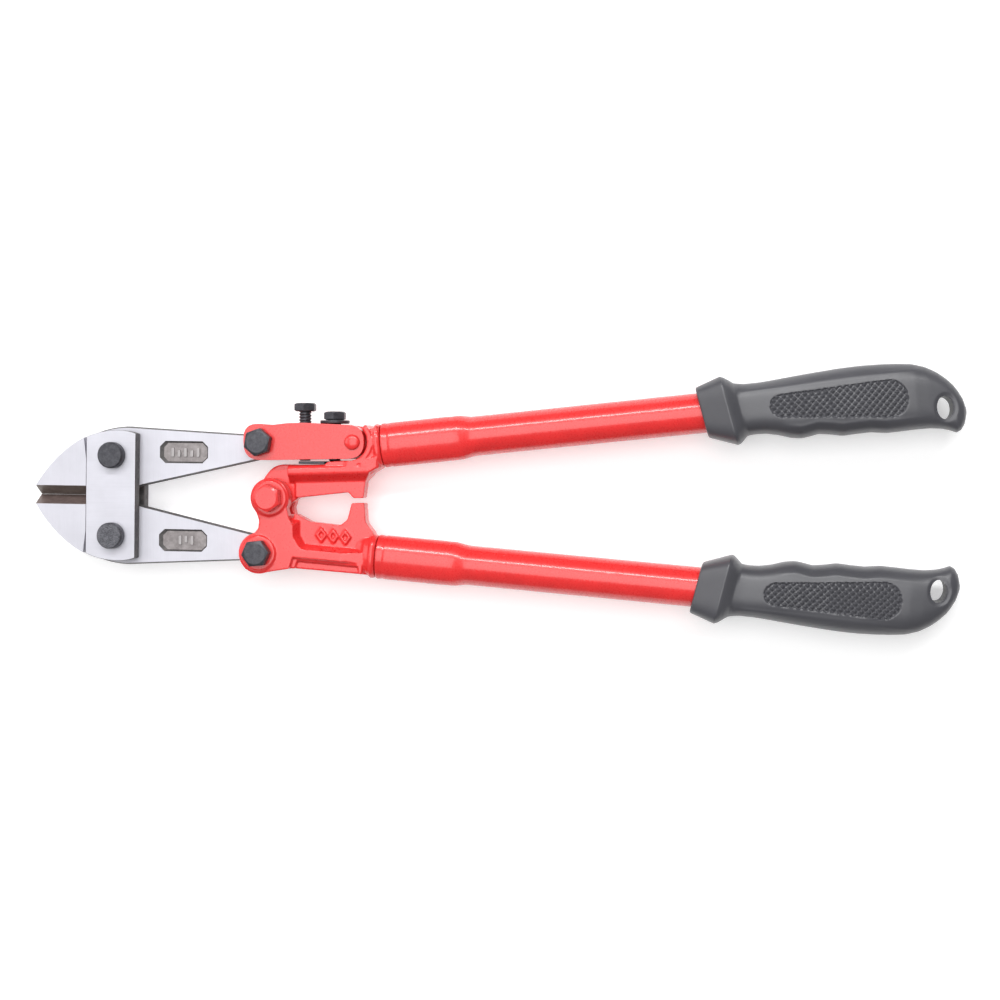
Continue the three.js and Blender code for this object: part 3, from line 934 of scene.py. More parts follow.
    def raised_marks(self) -> bpy.types.Object:
        """A generic row of raised bars on the recess floor."""
        low, high = self.mark_rows
        floor = BLADE_HALF - self.recess_depth
        bars = []
        for index, place in enumerate(self.marks):
            top = high if index % 2 == 0 else high - 1.1
            left, right, corner = place - 0.75, place + 0.75, 0.5
            corners = [(left, low, corner), (right, low, corner), (right, top, corner), (left, top, corner)]
            points = [(x, self.side * y) for x, y in rounded(corners, 4)]
            bars.append(break_edges(slab(points, floor - 0.2, floor + 0.75), 0.18, 2))
        return merged(*bars)

    def build(self, bed: Bed, steel: "Finishes") -> None:
        """Models and dresses the blade and its marks."""
        body = self.shape()
        self.finish_faces(body, steel)
        body = merged(break_edges(body, 0.14, 2, 24), self.dressed_marks(steel))
        node = f"{self.name}_blade"
        deliver(body, bed, Dress(f"{node}_forging", node, "blade_steel", node))

    def dressed_marks(self, steel: "Finishes") -> bpy.types.Object:
        """The raised marks, their tops bright and their sides dull."""
        marks = self.raised_marks()
        paint_faces(marks, (steel.recess_floor, steel.mark_tops), lambda polygon: int(polygon.normal.z > 0.8))
        return marks


@dataclass(frozen=True)
class HeadPlate:
    """One of the two plates that hold the blade pivots, in the head's frame."""

    name: str
    face: int
    left: float = -14.0
    right: float = 11.6
    pivot_y: float = 19.9

    def outline(self) -> list[Point]:
        """The plate's outline, bowed at both ends."""
        left, right = self.left, self.right
        curve = bezier([(left, -29.0), (left + 6, -31.8), (right - 8, -34.0), (right, -30.8)], 14)
        mirrored = [(x, -y) for x, y in reversed(curve)]
        return [*curve, *mirrored]

    def build(self, bed: Bed, steel: "Finishes") -> None:
        """Models and dresses the plate."""
        bottom, top = (CHEEK_INNER, CHEEK_OUTER) if self.face > 0 else (-CHEEK_OUTER, -CHEEK_INNER)
        plate = slab(self.outline(), bottom, top)
        cut(plate, *[rod((0, side * self.pivot_y), HEAD_BORE, -REST, REST) for side in (-1, 1)])
        break_edges(plate, 0.32, 3)

        def chooser(polygon: bpy.types.MeshPolygon) -> int:
            """Ground on the outer face and against the jaws, forged elsewhere. The dark forged finish on the
            inner face, towards the blades, is partly painted shade for the gap between the blades.
            """
            return 0 if self.face * polygon.normal.z > 0.75 or polygon.normal.x < -0.9 else 1

        paint_faces(plate, (steel.plate, steel.forged), chooser)
        dress = Dress(f"{self.name}_plate", "head", "plate_steel", f"{self.name}_head_plate")
        deliver(plate, bed, dress)


@dataclass(frozen=True)
class HeadBolt:
    """A round-headed blade pivot with its washer and nut, in the head's frame."""

    name: str
    side: int
    mottled: bool
    radius: float = 6.5
    height: float = 4.5
    chamfer: float = 0.75
    shank: float = 4.8
    pivot_y: float = 19.9

    def build(self, bed: Bed, steel: "Finishes") -> None:
        """Models and dresses the bolt, washer and nut."""
        centre = (0.0, self.side * self.pivot_y)
        seat = CHEEK_OUTER + GAP
        top = seat + self.height
        edge = self.radius - self.chamfer
        profile = [
            (0, -REST), (self.shank - 0.6, -REST), (self.shank, -REST + 0.6), (self.shank, seat),
            (self.radius - 0.15, seat), (self.radius, seat + 0.15), (self.radius, top - self.chamfer),
            (self.radius - 0.12, top - self.chamfer + 0.25), (edge + 0.12, top - 0.1), (edge, top), (0, top),
        ]
        finish = steel.black_mottled if self.mottled else steel.black
        self._place(lathe(profile, 96), centre, bed, "bolt", finish)
        washer_top = -CHEEK_OUTER - GAP
        washer_bottom = washer_top - WASHER_THICK
        ring = washer(self.shank + GAP, self.shank + 3.4, washer_bottom, washer_top)
        self._place(ring, centre, bed, "washer", steel.black)
        nut = hex_nut(M10_NUT, -REST + GAP, washer_bottom - GAP, 0.2 + 0.4 * self.side)
        self._place(nut, centre, bed, "nut", steel.black)

    def _place(
        self, obj: bpy.types.Object, centre: Point, bed: Bed, part: str, finish: bpy.types.Material
    ) -> None:
        """Moves a fastener to its centre and delivers it."""
        smooth(shifted(obj, *centre, 0), 28)
        node = f"{self.name}_head_{part}"
        deliver(obj, bed, Dress(f"{node}_turned", "head", "black_steel", node, finish))


# ---- Adjuster link and the bolts of the linkage, in the tool's frame


@dataclass(frozen=True)
class Linkage:
    """The places of the linkage's pins in the tool's frame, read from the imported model."""

    bed: Bed

    @property
    def upper_tail(self) -> Point:
        """The pin of the upper blade's tail."""
        return self.bed.inside(joint("handle_spread"))

    @property
    def lower_tail(self) -> Point:
        """The pin of the lower blade's tail."""
        return self.bed.inside(joint("lower_handle_pivot"))

    @property
    def rivet(self) -> Point:
        """The rivet that joins the link to the upper handle."""
        return self.bed.inside(joint("gap_adjust"))

    @property
    def main(self) -> Point:
        """The pin that joins the two handles."""
        return self.bed.inside(middle_of("main_pivot_nut"))


@dataclass(frozen=True)
class AdjusterLink:
    """The painted link between the upper blade's tail and the upper handle, with its screws."""

    pins: Linkage
    left: float = 67.3
    right: float = 127.6
    solid: tuple[float, float] = (85.5, 115.0)
    adjust_x: float = 96.0
    lock_x: float = 111.0
    adjust_seat: float = 43.4
    adjust_tip: float = 19.1
    lock_seat: float = 39.1
    lock_tip: float = 12.6
    washer_base: float = 37.3
    washer_rims: tuple[float, float] = (4.2, 7.2)
    pad_low: tuple[float, float, float] = (94.4, 17.5, -7.0)
    pad_high: tuple[float, float, float] = (107.4, 18.8, 7.0)

    def outline(self) -> list[Point]:
        """The link's outline, with the shallow dip in its upper edge."""
        return rounded(
            [
                (self.left, 19.3, 8.6), (self.right, 20.1, 8.0), (self.right, 36.0, 7.9),
                (98.0, 37.5, 12.0), (89.0, 37.35, 4.0), (82.5, 36.6, 6.0), (75.5, 37.1, 3.0),
                (self.left, 37.2, 7.0),
            ],
            10,
        )

    def body(self) -> bpy.types.Object:
        """The link itself, slotted at both ends."""
        link = slab(self.outline(), -CHEEK_OUTER, CHEEK_OUTER)
        cut(
            link,
            block((self.left - 5, 0, -CHEEK_INNER), (self.solid[0], 60, CHEEK_INNER)),
            block((self.solid[1], 0, -CHEEK_INNER), (self.right + 5, 60, CHEEK_INNER)),
            rod(self.pins.upper_tail, PIN_BORE, -REST, REST),
            rod(self.pins.rivet, SCREW_BORE, -REST, REST),
            *[cross_rod(x, SCREW_BORE, 10, 50) for x in (self.adjust_x, self.lock_x)],
        )
        return break_edges(link, 0.75, 4, 40)

    def rivet(self) -> bpy.types.Object:
        """The rivet, its front head a low dome and its back head peened."""
        seat = CHEEK_OUTER + GAP
        domed = ((3.7, 0.0), (3.75, 0.5), (3.5, 0.95), (2.9, 1.3), (2.0, 1.6), (1.1, 1.76), (0, 1.8))
        flattened = ((0, 1.79), (1.4, 1.7), (2.9, 1.3), (3.9, 0.6), (4.15, 0.0))
        front = [(radius, seat + rise) for radius, rise in domed]
        back = [(radius, -seat - rise) for radius, rise in flattened]
        pin = lathe([*back, (3.0, -seat), (3.0, seat), *front], 64)
        return shifted(smooth(pin, 40), *self.pins.rivet, 0)

    def build(self, paint: "Finishes") -> None:
        """Models and dresses the link, its rivet, its two screws and the lock washer."""
        link, rivet = self.body(), self.rivet()
        screw = shifted(set_screw(M6, self.adjust_seat, self.adjust_tip), self.adjust_x, 0, 0)
        lock = shifted(set_screw(M6, self.lock_seat, self.lock_tip), self.lock_x, 0, 0)
        ring = upright(washer(*self.washer_rims, self.washer_base, self.washer_base + WASHER_THICK))
        pad = break_edges(block(self.pad_low, self.pad_high), 0.25, 2)
        for obj, name, body, node, finish in (
            (link, "adjuster_link_forging", "link", "adjuster_link", paint.red),
            (rivet, "link_rivet_domed", "link", "link_rivet", paint.red),
            (screw, "adjusting_screw", "adjusting_bolt", "adjusting_bolt", paint.black),
            (lock, "lock_screw", "lock_bolt", "lock_bolt", paint.black),
            (shifted(ring, self.lock_x, 0, 0), "lock_washer_punched", "link", "lock_washer", paint.black),
            (pad, "adjuster_rest_plate", "upper_handle", "adjuster_pad", paint.black),
        ):
            slot = "red_paint" if finish is paint.red else "black_steel"
            deliver(obj, self.pins.bed, Dress(name, body, slot, node, finish))


@dataclass(frozen=True)
class PinSet:
    """A hexagon bolt of the linkage with its washer and nut."""

    name: str
    body: str
    centre: Point
    seat: float
    turn: float
    slot_name: str

    def build(self, bed: Bed, finish: bpy.types.Material) -> None:
        """Models and dresses the bolt, washer and nut."""
        washer_top = -CHEEK_OUTER - GAP
        washer_bottom = washer_top - WASHER_THICK
        pieces = {
            "bolt": hex_bolt(M8, self.seat + GAP, -REST, self.turn),
            "washer": washer(M8.shank + GAP, M8.shank + 3.4, washer_bottom, washer_top),
            "nut": hex_nut(M8, -REST + GAP, washer_bottom - GAP, self.turn + 0.5),
        }
        for part, obj in pieces.items():
            node = f"{self.name}_{part}"
            shifted(obj, *self.centre, 0)
            deliver(obj, bed, Dress(f"{node}_turned", self.body, self.slot_name, node, finish))


# ---- Handles: cast brackets, tubes and grips


@dataclass(frozen=True)
class HandleLine:
    """Where a tube starts in the tool's frame and which way it runs."""

    name: str
    x: float
    y: float
    turn: float
    side: int


UPPER = HandleLine("upper", 135.5, 26.5, 5.55, 1)
LOWER = HandleLine("lower", 132.7, -27.8, -4.93, -1)


@dataclass(frozen=True)
class Casting:
    """What both cast brackets share: their levels, the collar and the tang in the tube."""

    pins: Linkage
    web: float = 4.0
    flange: float = 8.6
    tongue: float = 2.75

    def tang(self, line: HandleLine) -> list[bpy.types.Object]:
        """The stub that enters the tube, and the collar with its ridge."""
        stub = bar([(-4.5, 8.2, -8.2, 6.0), (28, 8.2, -8.2, 6.0), (30, 7.2, -7.2, 5.0)], line.side)
        collar = bar(
            [
                (-6.5, 9.2, -9.4, 6.8), (-4.4, 9.4, -9.6, 7.2), (-3.6, 9.9, -10.0, 7.9),
                (-2.9, 10.7, -10.7, 8.7), (-1.9, 10.8, -10.8, 8.8), (-1.2, 10.5, -10.5, 8.4),
                (-0.35, 10.2, -10.2, 8.1),
            ],
            line.side,
            2.5,
            96,
        )
        return [shifted(each, line.x, line.y, line.turn) for each in (stub, collar)]

    def deliver_casting(self, casting: bpy.types.Object, name: str, rounds: int, paint: "Finishes") -> None:
        """Softens a bracket's joined blocks into a casting and delivers it."""
        cast(casting, rounds=rounds)
        node = f"{name}_bracket"
        dress = Dress(f"{node}_casting", f"{name}_handle", "red_paint", node, paint.red_cast)
        deliver(casting, self.pins.bed, dress)


@dataclass(frozen=True)
class UpperBracket(Casting):
    """The upper handle's bracket: arm to the main pivot, ribbed bar, stop leg and neck."""

    rib_left: float = 89.4
    rib_right: float = 130.0
    link_end: Point = (119.7, 28.1)
    link_room: float = 9.1
    main_eye: float = 8.8
    rivet_eye: float = 5.6

    def rib(self) -> bpy.types.Object:
        """The bar's thick upper edge, whose flanks slope down to the web."""
        flange, web = self.flange, self.web
        half = [(17.0, 6.2), (16.5, 7.6), (15.2, 8.4), (14.0, flange), (12.3, 8.3), (8.7, web)]
        profile = [*half, *[(y, -z) for y, z in reversed(half)]]
        return shifted(along_x(profile, self.rib_left, self.rib_right), 0, -2.3, 1.35)

    def wrap(self) -> bpy.types.Object:
        """The bead that follows the link's rounded end."""
        angles = [math.radians(degrees) for degrees in range(-98, 52, 6)]
        rims = []
        for radius, order in ((self.link_room + 2.7, angles), (self.link_room, angles[::-1])):
            x, y = self.link_end
            rims += [(x + radius * math.cos(angle), y + radius * math.sin(angle)) for angle in order]
        return slab(rims, -8.3, 8.3)

    def build(self, paint: "Finishes") -> None:
        """Models and dresses the bracket."""
        main, rivet = self.pins.main, self.pins.rivet
        arm = rounded(
            [
                (73.2, 4, 0), (75.2, 10.0, 6), (80.6, 17.4, 11), (95, 17.2, 0), (120, 17.0, 0), (120, 9, 0),
                (100, 8, 0), (93, 0.6, 1), (87.6, -2.6, 0),
            ]
        )
        web = rounded(
            [
                (91.9, 0.8, 1), (118.6, 3.6, 1), (121.0, 0.8, 0.6), (126.1, 0.8, 0.8), (127.2, 9.4, 3),
                (130.2, 12.6, 2), (134.5, 15.4, 0), (134.5, 18, 0), (91.9, 17, 0),
            ]
        )
        x, y = rivet
        eye = self.rivet_eye
        neck = [
            (124, 12.8), (130.2, 13.2), (134.5, 15.6), (133.6, 36.2), (131.6, 34.8), (129.9, 34.2), (126.6, 33.8),
        ]
        tongue = [(x, y - eye), (130, y - 7), (130, y + 5), (x, y + eye)]
        saddle = [
            (107.7, 15.5), (130, 15.5), (131.5, 24), (124.5, 21), (114, 18.9), (109.4, 18.7), (107.9, 17.6),
        ]
        heel = [(124, 12.9), (129.8, 13.3), (133.8, 15.7), (133.8, 21.5), (126, 18.5)]
        gusset = [(126.9, 8.6), (129.6, 12.2), (134.6, 15.3), (141, 16.0), (141, 4), (126.9, 4)]
        levels = ((neck, 7.2), (saddle, 7.6), (heel, 8.2))
        shell = fuse(*[slab(outline, -level, level) for outline, level in levels], self.wrap(), self.rib())
        link_room = rod(self.link_end, self.link_room, -REST - 1, REST + 1, 96)
        cut(shell, slab(gusset, -REST, REST), link_room, block((95, 19.1, -REST), (119.6, 37.4, REST)))
        casting = fuse(
            shell,
            slab(arm, -self.tongue, self.tongue),
            rod(main, self.main_eye, -self.tongue, self.tongue),
            slab(web, -self.web, self.web),
            slab(tongue, -self.tongue, self.tongue),
            rod(rivet, eye, -self.tongue, self.tongue),
            *self.tang(UPPER),
        )
        holes = [rod(main, MAIN_EYE_BORE, -REST, REST), rod(rivet, SCREW_BORE, -REST, REST)]
        cut(casting, *holes, cross_rod(111.0, 3.4, 11, 30))
        self.deliver_casting(casting, "upper", 6, paint)


@dataclass(frozen=True)
class LowerBracket(Casting):
    """The lower handle's bracket: two-eared fork, sunk panel with raised diamonds, bands and stop leg."""

    panel: float = 4.0
    ramp_start: float = 116.0
    ramp_lean: float = 13.0
    mark_centres: tuple[Point, ...] = ((105.2, -17.2), (111.2, -17.8), (117.2, -18.4))

    def fork(self) -> bpy.types.Object:
        """The two ears with their eyes, and the band that runs back from them."""
        ears = rounded(
            [
                (71, 1, 0), (75.0, -10, 4), (74.6, -14, 3), (66, -24, 0), (68, -34, 0), (79, -35.4, 3),
                (91, -33.6, 6), (126, -36.3, 0), (126.5, -26.7, 0), (96.4, -24.1, 3), (92.2, -20.0, 3),
                (92.0, -12.6, 2), (90.2, -9.4, 2), (88.6, -3.0, 0), (89.6, 1, 0),
            ]
        )
        flank = [(82, -30), (130, -33), (130, -23.2), (98.0, -20.3), (95.9, -16.8), (95.9, -8.4), (82, -8.4)]
        fork = slab(ears, -CHEEK_OUTER, CHEEK_OUTER)
        fuse(
            fork,
            slab(flank, -CHEEK_OUTER + 0.02, CHEEK_OUTER - 0.02, 3.9),
            rod(self.pins.main, 9.7, -CHEEK_OUTER, CHEEK_OUTER, 96),
            rod(self.pins.lower_tail, 10.1, -CHEEK_OUTER, CHEEK_OUTER, 96),
            *[rod(pin, 8.6, CHEEK_INNER + 1, BOSS_OUTER, 96) for pin in (self.pins.main, self.pins.lower_tail)],
        )
        return fork

    def bands(self) -> list[bpy.types.Object]:
        """Cutters for the two steps below the band, on each face."""
        first = [(91.8, -28.1), (131.0, -31.4), (131.0, -40), (88.0, -38), (90.3, -32.8)]
        second = [(93.8, -29.8), (124.2, -32.5), (124.9, -40), (91.0, -38), (92.6, -33.0)]
        cutters = []
        for outline, level in ((first, 7.4), (second, 5.9)):
            cutters += [slab(outline, level, REST), slab(outline, -REST, -level)]
        return cutters

    def ramps(self) -> list[bpy.types.Object]:
        """Cutters that let the band sink into the neck at its right end, one for each face."""
        cutters = []
        for face in (1, -1):
            low, high = sorted((face * CHEEK_OUTER, face * (REST + 6)))
            cutter = block((self.ramp_start, -45, low), (142, -19, high))
            hinge = Vector((self.ramp_start, 0, face * CHEEK_OUTER))
            lean = Matrix.Rotation(math.radians(face * self.ramp_lean), 4, "Y")
            cutter.data.transform(Matrix.Translation(hinge) @ lean @ Matrix.Translation(-hinge))
            cutters.append(cutter)
        return cutters

    def marks(self) -> list[bpy.types.Object]:
        """Raised diamonds on the panel, a generic casting mark."""
        diamonds, corners = [], polar(1.0, 4)
        for x, y in self.mark_centres:
            solid, hollow = (
                slab([(x + dx * wide, y + dy * tall) for dx, dy in corners], self.panel + low, self.panel + high)
                for wide, tall, low, high in ((2.9, 3.9, -1, 1.2), (1.3, 1.8, 0.1, 3))
            )
            diamonds.append(cut(solid, hollow))
        return diamonds

    def build(self, paint: "Finishes") -> None:
        """Models and dresses the bracket."""
        web = rounded(
            [
                (91, -6.4, 1), (99.2, -10.8, 8), (114.4, -12.5, 2.5), (118, -9.8, 2.5), (120.2, -1.6, 0.8),
                (126.6, -1.5, 0.8), (127.2, -11.0, 4), (131, -15.9, 0), (131, -36.9, 0), (92, -33.6, 0),
            ]
        )
        slot = fuse(
            rod(self.pins.main, 11.8, -CHEEK_INNER, CHEEK_INNER, 72),
            block((50, -50, -CHEEK_INNER), (84.5, 15, CHEEK_INNER)),
        )
        rows = [(-10.5, 4.0, -9.8, 4.0), (-8.0, 7.2, -9.8, 5.4), (-5.5, 9.2, -9.9, 7.2), (-3.0, 9.8, -10.0, 8.1)]
        neck = bar(rows, LOWER.side, 2.3)
        casting = fuse(self.fork(), slab(web, -self.panel, self.panel))
        cut(casting, *self.bands(), *self.ramps())
        fuse(casting, *self.marks(), shifted(neck, LOWER.x, LOWER.y, LOWER.turn), *self.tang(LOWER))
        cut(casting, slot, *[rod(pin, PIN_BORE, -REST, REST) for pin in (self.pins.main, self.pins.lower_tail)])
        self.deliver_casting(casting, "lower", 5, paint)


@dataclass(frozen=True)
class Tube:
    """A painted steel tube, pressed flatter over the bracket's tang."""

    line: HandleLine
    radius: float = 9.6
    wide: float = 10.8
    thick: float = 8.4
    pressed_to: float = 37.0
    round_from: float = 46.0
    length: float = 251.0
    wall: float = 1.6

    def section(self, place: float, inward: float) -> tuple[float, float]:
        """Half width and half thickness at a place along the tube."""
        share = min(1.0, max(0.0, (place - self.pressed_to) / (self.round_from - self.pressed_to)))
        ease = share * share * (3 - 2 * share)
        ripple = 0.12 * math.exp(-(((place - self.pressed_to + 1.5) / 1.6) ** 2))
        ripple += 0.22 * math.exp(-(((place - 3.1) / 0.9) ** 2))
        wide = self.wide + (self.radius - self.wide) * ease - ripple
        thick = self.thick + (self.radius - self.thick) * ease - ripple
        return wide - inward, thick - inward

    def ring(self, place: float, inward: float, sides: int = 96) -> Ring:
        """One ring of points round the tube."""
        wide, thick = self.section(place, inward)
        angles = np.arange(sides) * 2 * math.pi / sides
        return np.column_stack([np.full(sides, place), wide * np.cos(angles), thick * np.sin(angles)])

    def build(self, bed: Bed, paint: "Finishes") -> None:
        """Models and dresses the tube."""
        lip = [(0.0, 0.45), (0.15, 0.15), (0.5, 0.0)]
        spans = ((0.8, 7, 0.4), (7.5, 60, 1.0), (64, 250, 6.0))
        places = [float(place) for span in spans for place in np.arange(*span)]
        outside = [self.ring(place, inward) for place, inward in lip]
        outside += [self.ring(place, 0.0) for place in places] + [self.ring(self.length, 0.0)]
        inside = [self.ring(place, self.wall) for place in (self.length, *reversed(places), 0.0)]
        tube = smooth(skin([*outside, *inside, outside[0]]), 35)
        node = f"{self.line.name}_tube"
        handle = bed.within(self.line.x, self.line.y, math.radians(self.line.turn))
        dress = Dress(f"{node}_pressed", f"{self.line.name}_handle", "red_paint", node, paint.red)
        deliver(tube, handle, dress)


@dataclass(frozen=True)
class Grip:
    """A moulded grip: flared ferrule, finger grooves, sunk knurled panels and a hanging hole."""

    line: HandleLine
    start: float = 155.3
    bore: float = 9.75
    bore_depth: float = 98.0
    slant: float = 0.17
    power: float = 3.0
    hole: tuple[float, float, float, float] = (110.6, -9.2, 7.4, 10.6)
    knurl_pitch: tuple[float, float] = (3.2, 3.3)
    knurl_sink: float = 1.0
    knurl_ends: tuple[float, float] = (31.5, 94.7)
    # The knurled panel's outer and inner edge, each a place, its level there and a slope
    knurl_outer: tuple[float, float, float] = (35.5, 4.5, 1.8 / 53.0)
    knurl_inner: tuple[float, float, float] = (34.5, -6.3, -5.4 / 53.5)
    face_edges: tuple[float, float] = (-12.9, 7.4)
    face_share: float = 0.74
    # Places along the grip with the outer edge, the inner edge and half the thickness
    sections: tuple[tuple[float, float, float, float], ...] = (
        (0, 12, -12, 12), (12.5, 16, -16.8, 16), (14.0, 15.4, -16.2, 15.3), (18.0, 12.3, -12.9, 12.7),
        (22, 11.5, -12.6, 12.4), (28, 11.5, -12.8, 12.6), (34, 11.9, -13.9, 13), (40, 12.4, -15.9, 13.3),
        (45, 12.8, -16.7, 13.4), (49, 13.1, -16.1, 13.4), (53, 13.4, -15.4, 13.4), (58, 13.7, -16.1, 13.4),
        (64, 14.1, -17.4, 13.4), (71, 14.3, -17.1, 13.4), (77, 14.3, -17, 13.3), (84, 14, -18.1, 13),
        (91, 13.5, -18, 12.6), (98, 12.6, -17.8, 12), (104, 10.6, -17.9, 11), (109, 7.6, -18.6, 10),
        (112.5, 4.6, -19.6, 9.3), (115.6, 1.2, -21, 8.6), (117.4, -1.6, -20.2, 7.8), (119.2, -5.2, -17.6, 6.6),
        (120.4, -9.6, -13.4, 4),
    )

    def places(self) -> np.ndarray:
        """The places of the rings: close together where the surface is detailed."""
        ferrule = np.concatenate([[0.0, 0.25, 0.6], np.arange(1.2, 11.5, 1.2), np.arange(11.6, 20, 0.4)])
        panel = np.arange(20.4, 97.0, 0.4)
        return np.concatenate([ferrule, panel, np.arange(97.6, 120.3, 0.5), [120.4]])

    def profile(self, places: np.ndarray) -> tuple[np.ndarray, np.ndarray, np.ndarray]:
        """Smoothed outer edge, inner edge and half thickness at each place."""
        table = np.array(self.sections)
        fine = np.arange(-4.0, 124.5, 0.1)
        found = []
        for column in (1, 2, 3):
            straight = np.interp(fine, table[:, 0], table[:, column])
            window = np.hanning(43)[1:-1]
            padded = np.pad(straight, 20, mode="edge")
            soft = np.convolve(padded, window / window.sum(), mode="valid")
            sharpness = np.clip(np.maximum((20.0 - fine) / 3.0, (fine - 112.0) / 3.0), 0, 1)
            edges = soft * (1 - sharpness) + straight * sharpness
            found.append(np.interp(places, fine, edges))
        trimmed = np.clip(places / 0.6, 0, 1)
        rim = 0.5 * (1 - np.sqrt(1 - (1 - trimmed) ** 2 * 0.999))
        return found[0] - rim, found[1] + rim, found[2] - rim

    def knurl(self, along: np.ndarray, across: np.ndarray) -> np.ndarray:
        """How far the panel's surface lies below the moulded face."""
        upper, lower = (
            level + (along - place) * slope for place, level, slope in (self.knurl_outer, self.knurl_inner)
        )
        middle, half = (upper + lower) / 2, (upper - lower) / 2
        inner = np.clip(along, self.knurl_ends[0] + half, self.knurl_ends[1] - half)
        distance = np.hypot(along - inner, across - middle) - half
        mask = np.clip(-distance / 0.5, 0, 1)
        pitch_u, pitch_v = self.knurl_pitch
        column, row = along / pitch_u, across / pitch_v
        diagonal_a = np.abs(((column + row) % 1.0) * 2 - 1)
        diagonal_b = np.abs(((column - row) % 1.0) * 2 - 1)
        crest = np.clip(np.minimum(diagonal_a, diagonal_b) * 1.25 - 0.1, 0, 1)
        return mask * self.knurl_sink * (1.0 - crest)

    def dish(self, along: np.ndarray, across: np.ndarray) -> np.ndarray:
        """The shallow crescent beside the hanging hole."""
        centre_u, centre_v, wide, tall = self.hole
        share_u = (along - centre_u - 0.5) / (wide / 2 + 1.2)
        share_v = (across - centre_v) / (tall / 2 + 1.0)
        rho = share_u**2 + share_v**2
        return 0.7 * np.clip((1.25 - rho) * 2.0, 0, 1)

    def shoulders(self, along: np.ndarray, across: np.ndarray, inner: float) -> np.ndarray:
        """Low soft ridges where the front turns to the sides; the inner one follows the fingers."""
        fade = np.clip((along - 19) / 6, 0, 1) * np.clip((104 - along) / 14, 0, 1)
        outer_line = 7.6 + (along - 22) * 0.022
        outer_ridge = np.exp(-(((across - outer_line) / 0.9) ** 2))
        inner_ridge = np.exp(-(((across - inner - 5.0) / 1.1) ** 2)) * np.clip((along - 36) / 8, 0, 1)
        return fade * (0.32 * outer_ridge + 0.30 * inner_ridge)

    def ring(self, place: float, outer: float, inner: float, half: float) -> Ring:
        """One ring: a front face, the outer side, a back face and the inner side."""
        middle, reach = (outer + inner) / 2, (outer - inner) / 2
        low = max(self.face_edges[0], middle - self.face_share * reach)
        high = min(self.face_edges[1], middle + self.face_share * reach)
        face = np.linspace(low, high, 50)
        turn = np.linspace(0, 1, 16)[1:-1]
        start_high = math.asin(min(1.0, (high - middle) / reach))
        start_low = math.asin(min(1.0, (middle - low) / reach))
        outer_angles = start_high + (math.pi / 2 - start_high) * (turn**0.8)
        inner_angles = start_low + (math.pi / 2 - start_low) * (turn**0.8)
        outer_side = middle + reach * np.sin(outer_angles)
        inner_side = middle - reach * np.sin(inner_angles)
        front = np.concatenate([face, outer_side, [outer]])
        back = np.concatenate([outer_side[::-1], face[::-1], inner_side])
        closing = np.concatenate([[inner], inner_side[::-1]])
        across = np.concatenate([front, back, closing])
        sign = np.concatenate([np.ones(len(front)), -np.ones(len(back)), [0.0], np.ones(len(inner_side))])
        share = np.clip(np.abs(across - middle) / reach, 0, 1)
        power = self.power + 1.4 * min(1.0, max(0.0, (19.0 - place) / 3.0))
        rise = half * (1 - share**power) ** (1 / power)
        along = np.full(len(across), place)
        flat = np.clip((rise / half - 0.55) / 0.25, 0, 1)
        rise = rise - flat * (self.knurl(along, across) + self.dish(along, across))
        rise = rise + flat * self.shoulders(along, across, inner)
        lean = self.slant * min(1.0, max(0.0, (32 - place) / 14))
        return np.column_stack([self.start + place - across * lean, self.line.side * across, sign * rise])

    def build(self, bed: Bed, plastic: "Finishes") -> None:
        """Models and dresses the grip."""
        places = self.places()
        rings = [self.ring(*values) for values in zip(places, *self.profile(places))]
        grip = capped(rings)
        along, across, wide, tall = self.hole
        side = self.line.side
        centre = (self.start + along, side * across)
        eye = [(centre[0] + x * wide / 2, centre[1] + y * tall / 2) for x, y in polar(1.0, 64)]
        sleeve = rod((0, 0), self.bore, self.start - 6, self.start + self.bore_depth, 64)
        sleeve.data.transform(Matrix.Rotation(math.radians(90), 4, "Y"))
        smooth(cut(grip, slab(eye, -REST, REST), sleeve), 38)
        node = f"{self.line.name}_grip"
        handle = bed.within(self.line.x, self.line.y, math.radians(self.line.turn))
        dress = Dress(f"{node}_moulded", f"{self.line.name}_handle", "grip_plastic", node, plastic.grip)
        deliver(grip, handle, dress)


# ---- The whole tool and its studio


@dataclass
class Finishes:
    """Every finish of the tool, made once."""

    ground: bpy.types.Material = field(default_factory=GroundSteel("ground_blade_steel").make)
    plate: bpy.types.Material = field(default_factory=GroundSteel("ground_plate_steel", cut=Cut.ALONG).make)
    forged: bpy.types.Material = field(default_factory=ForgedScale("forged_scale").make)
    upper_bevel: bpy.types.Material = field(
        default_factory=ForgedScale("hardened_bevel_grey", (0.17, 0.14, 0.125), (0.25, 0.215, 0.195), 0.42).make
    )
    lower_bevel: bpy.types.Material = field(
        default_factory=ForgedScale("hardened_bevel_brown", (0.15, 0.108, 0.10), (0.22, 0.165, 0.15), 0.42).make
    )
    recess_floor: bpy.types.Material = field(
        default_factory=ForgedScale("recess_floor", (0.20, 0.180, 0.180), (0.30, 0.275, 0.275), 0.45).make
    )
    mark_tops: bpy.types.Material = field(
        default_factory=GroundSteel("mark_tops", (0.38, 0.36, 0.36), 0.35).make
    )
    black: bpy.types.Material = field(default_factory=BlackOxide("black_oxide").make)
    black_mottled: bpy.types.Material = field(
        default_factory=BlackOxide("black_oxide_mottled", worn=(0.17, 0.17, 0.19), mottle=0.6).make
    )
    red: bpy.types.Material = field(default_factory=RedEnamel("red_enamel", cast=0.2).make)
    red_cast: bpy.types.Material = field(default_factory=RedEnamel("red_enamel_on_casting").make)
    grip: bpy.types.Material = field(default_factory=GripPlastic("grip_vinyl").make)

    @property
    def bevel_of(self) -> dict[int, bpy.types.Material]:
        """The cutting bevel's finish for each blade."""
        return {1: self.upper_bevel, -1: self.lower_bevel}


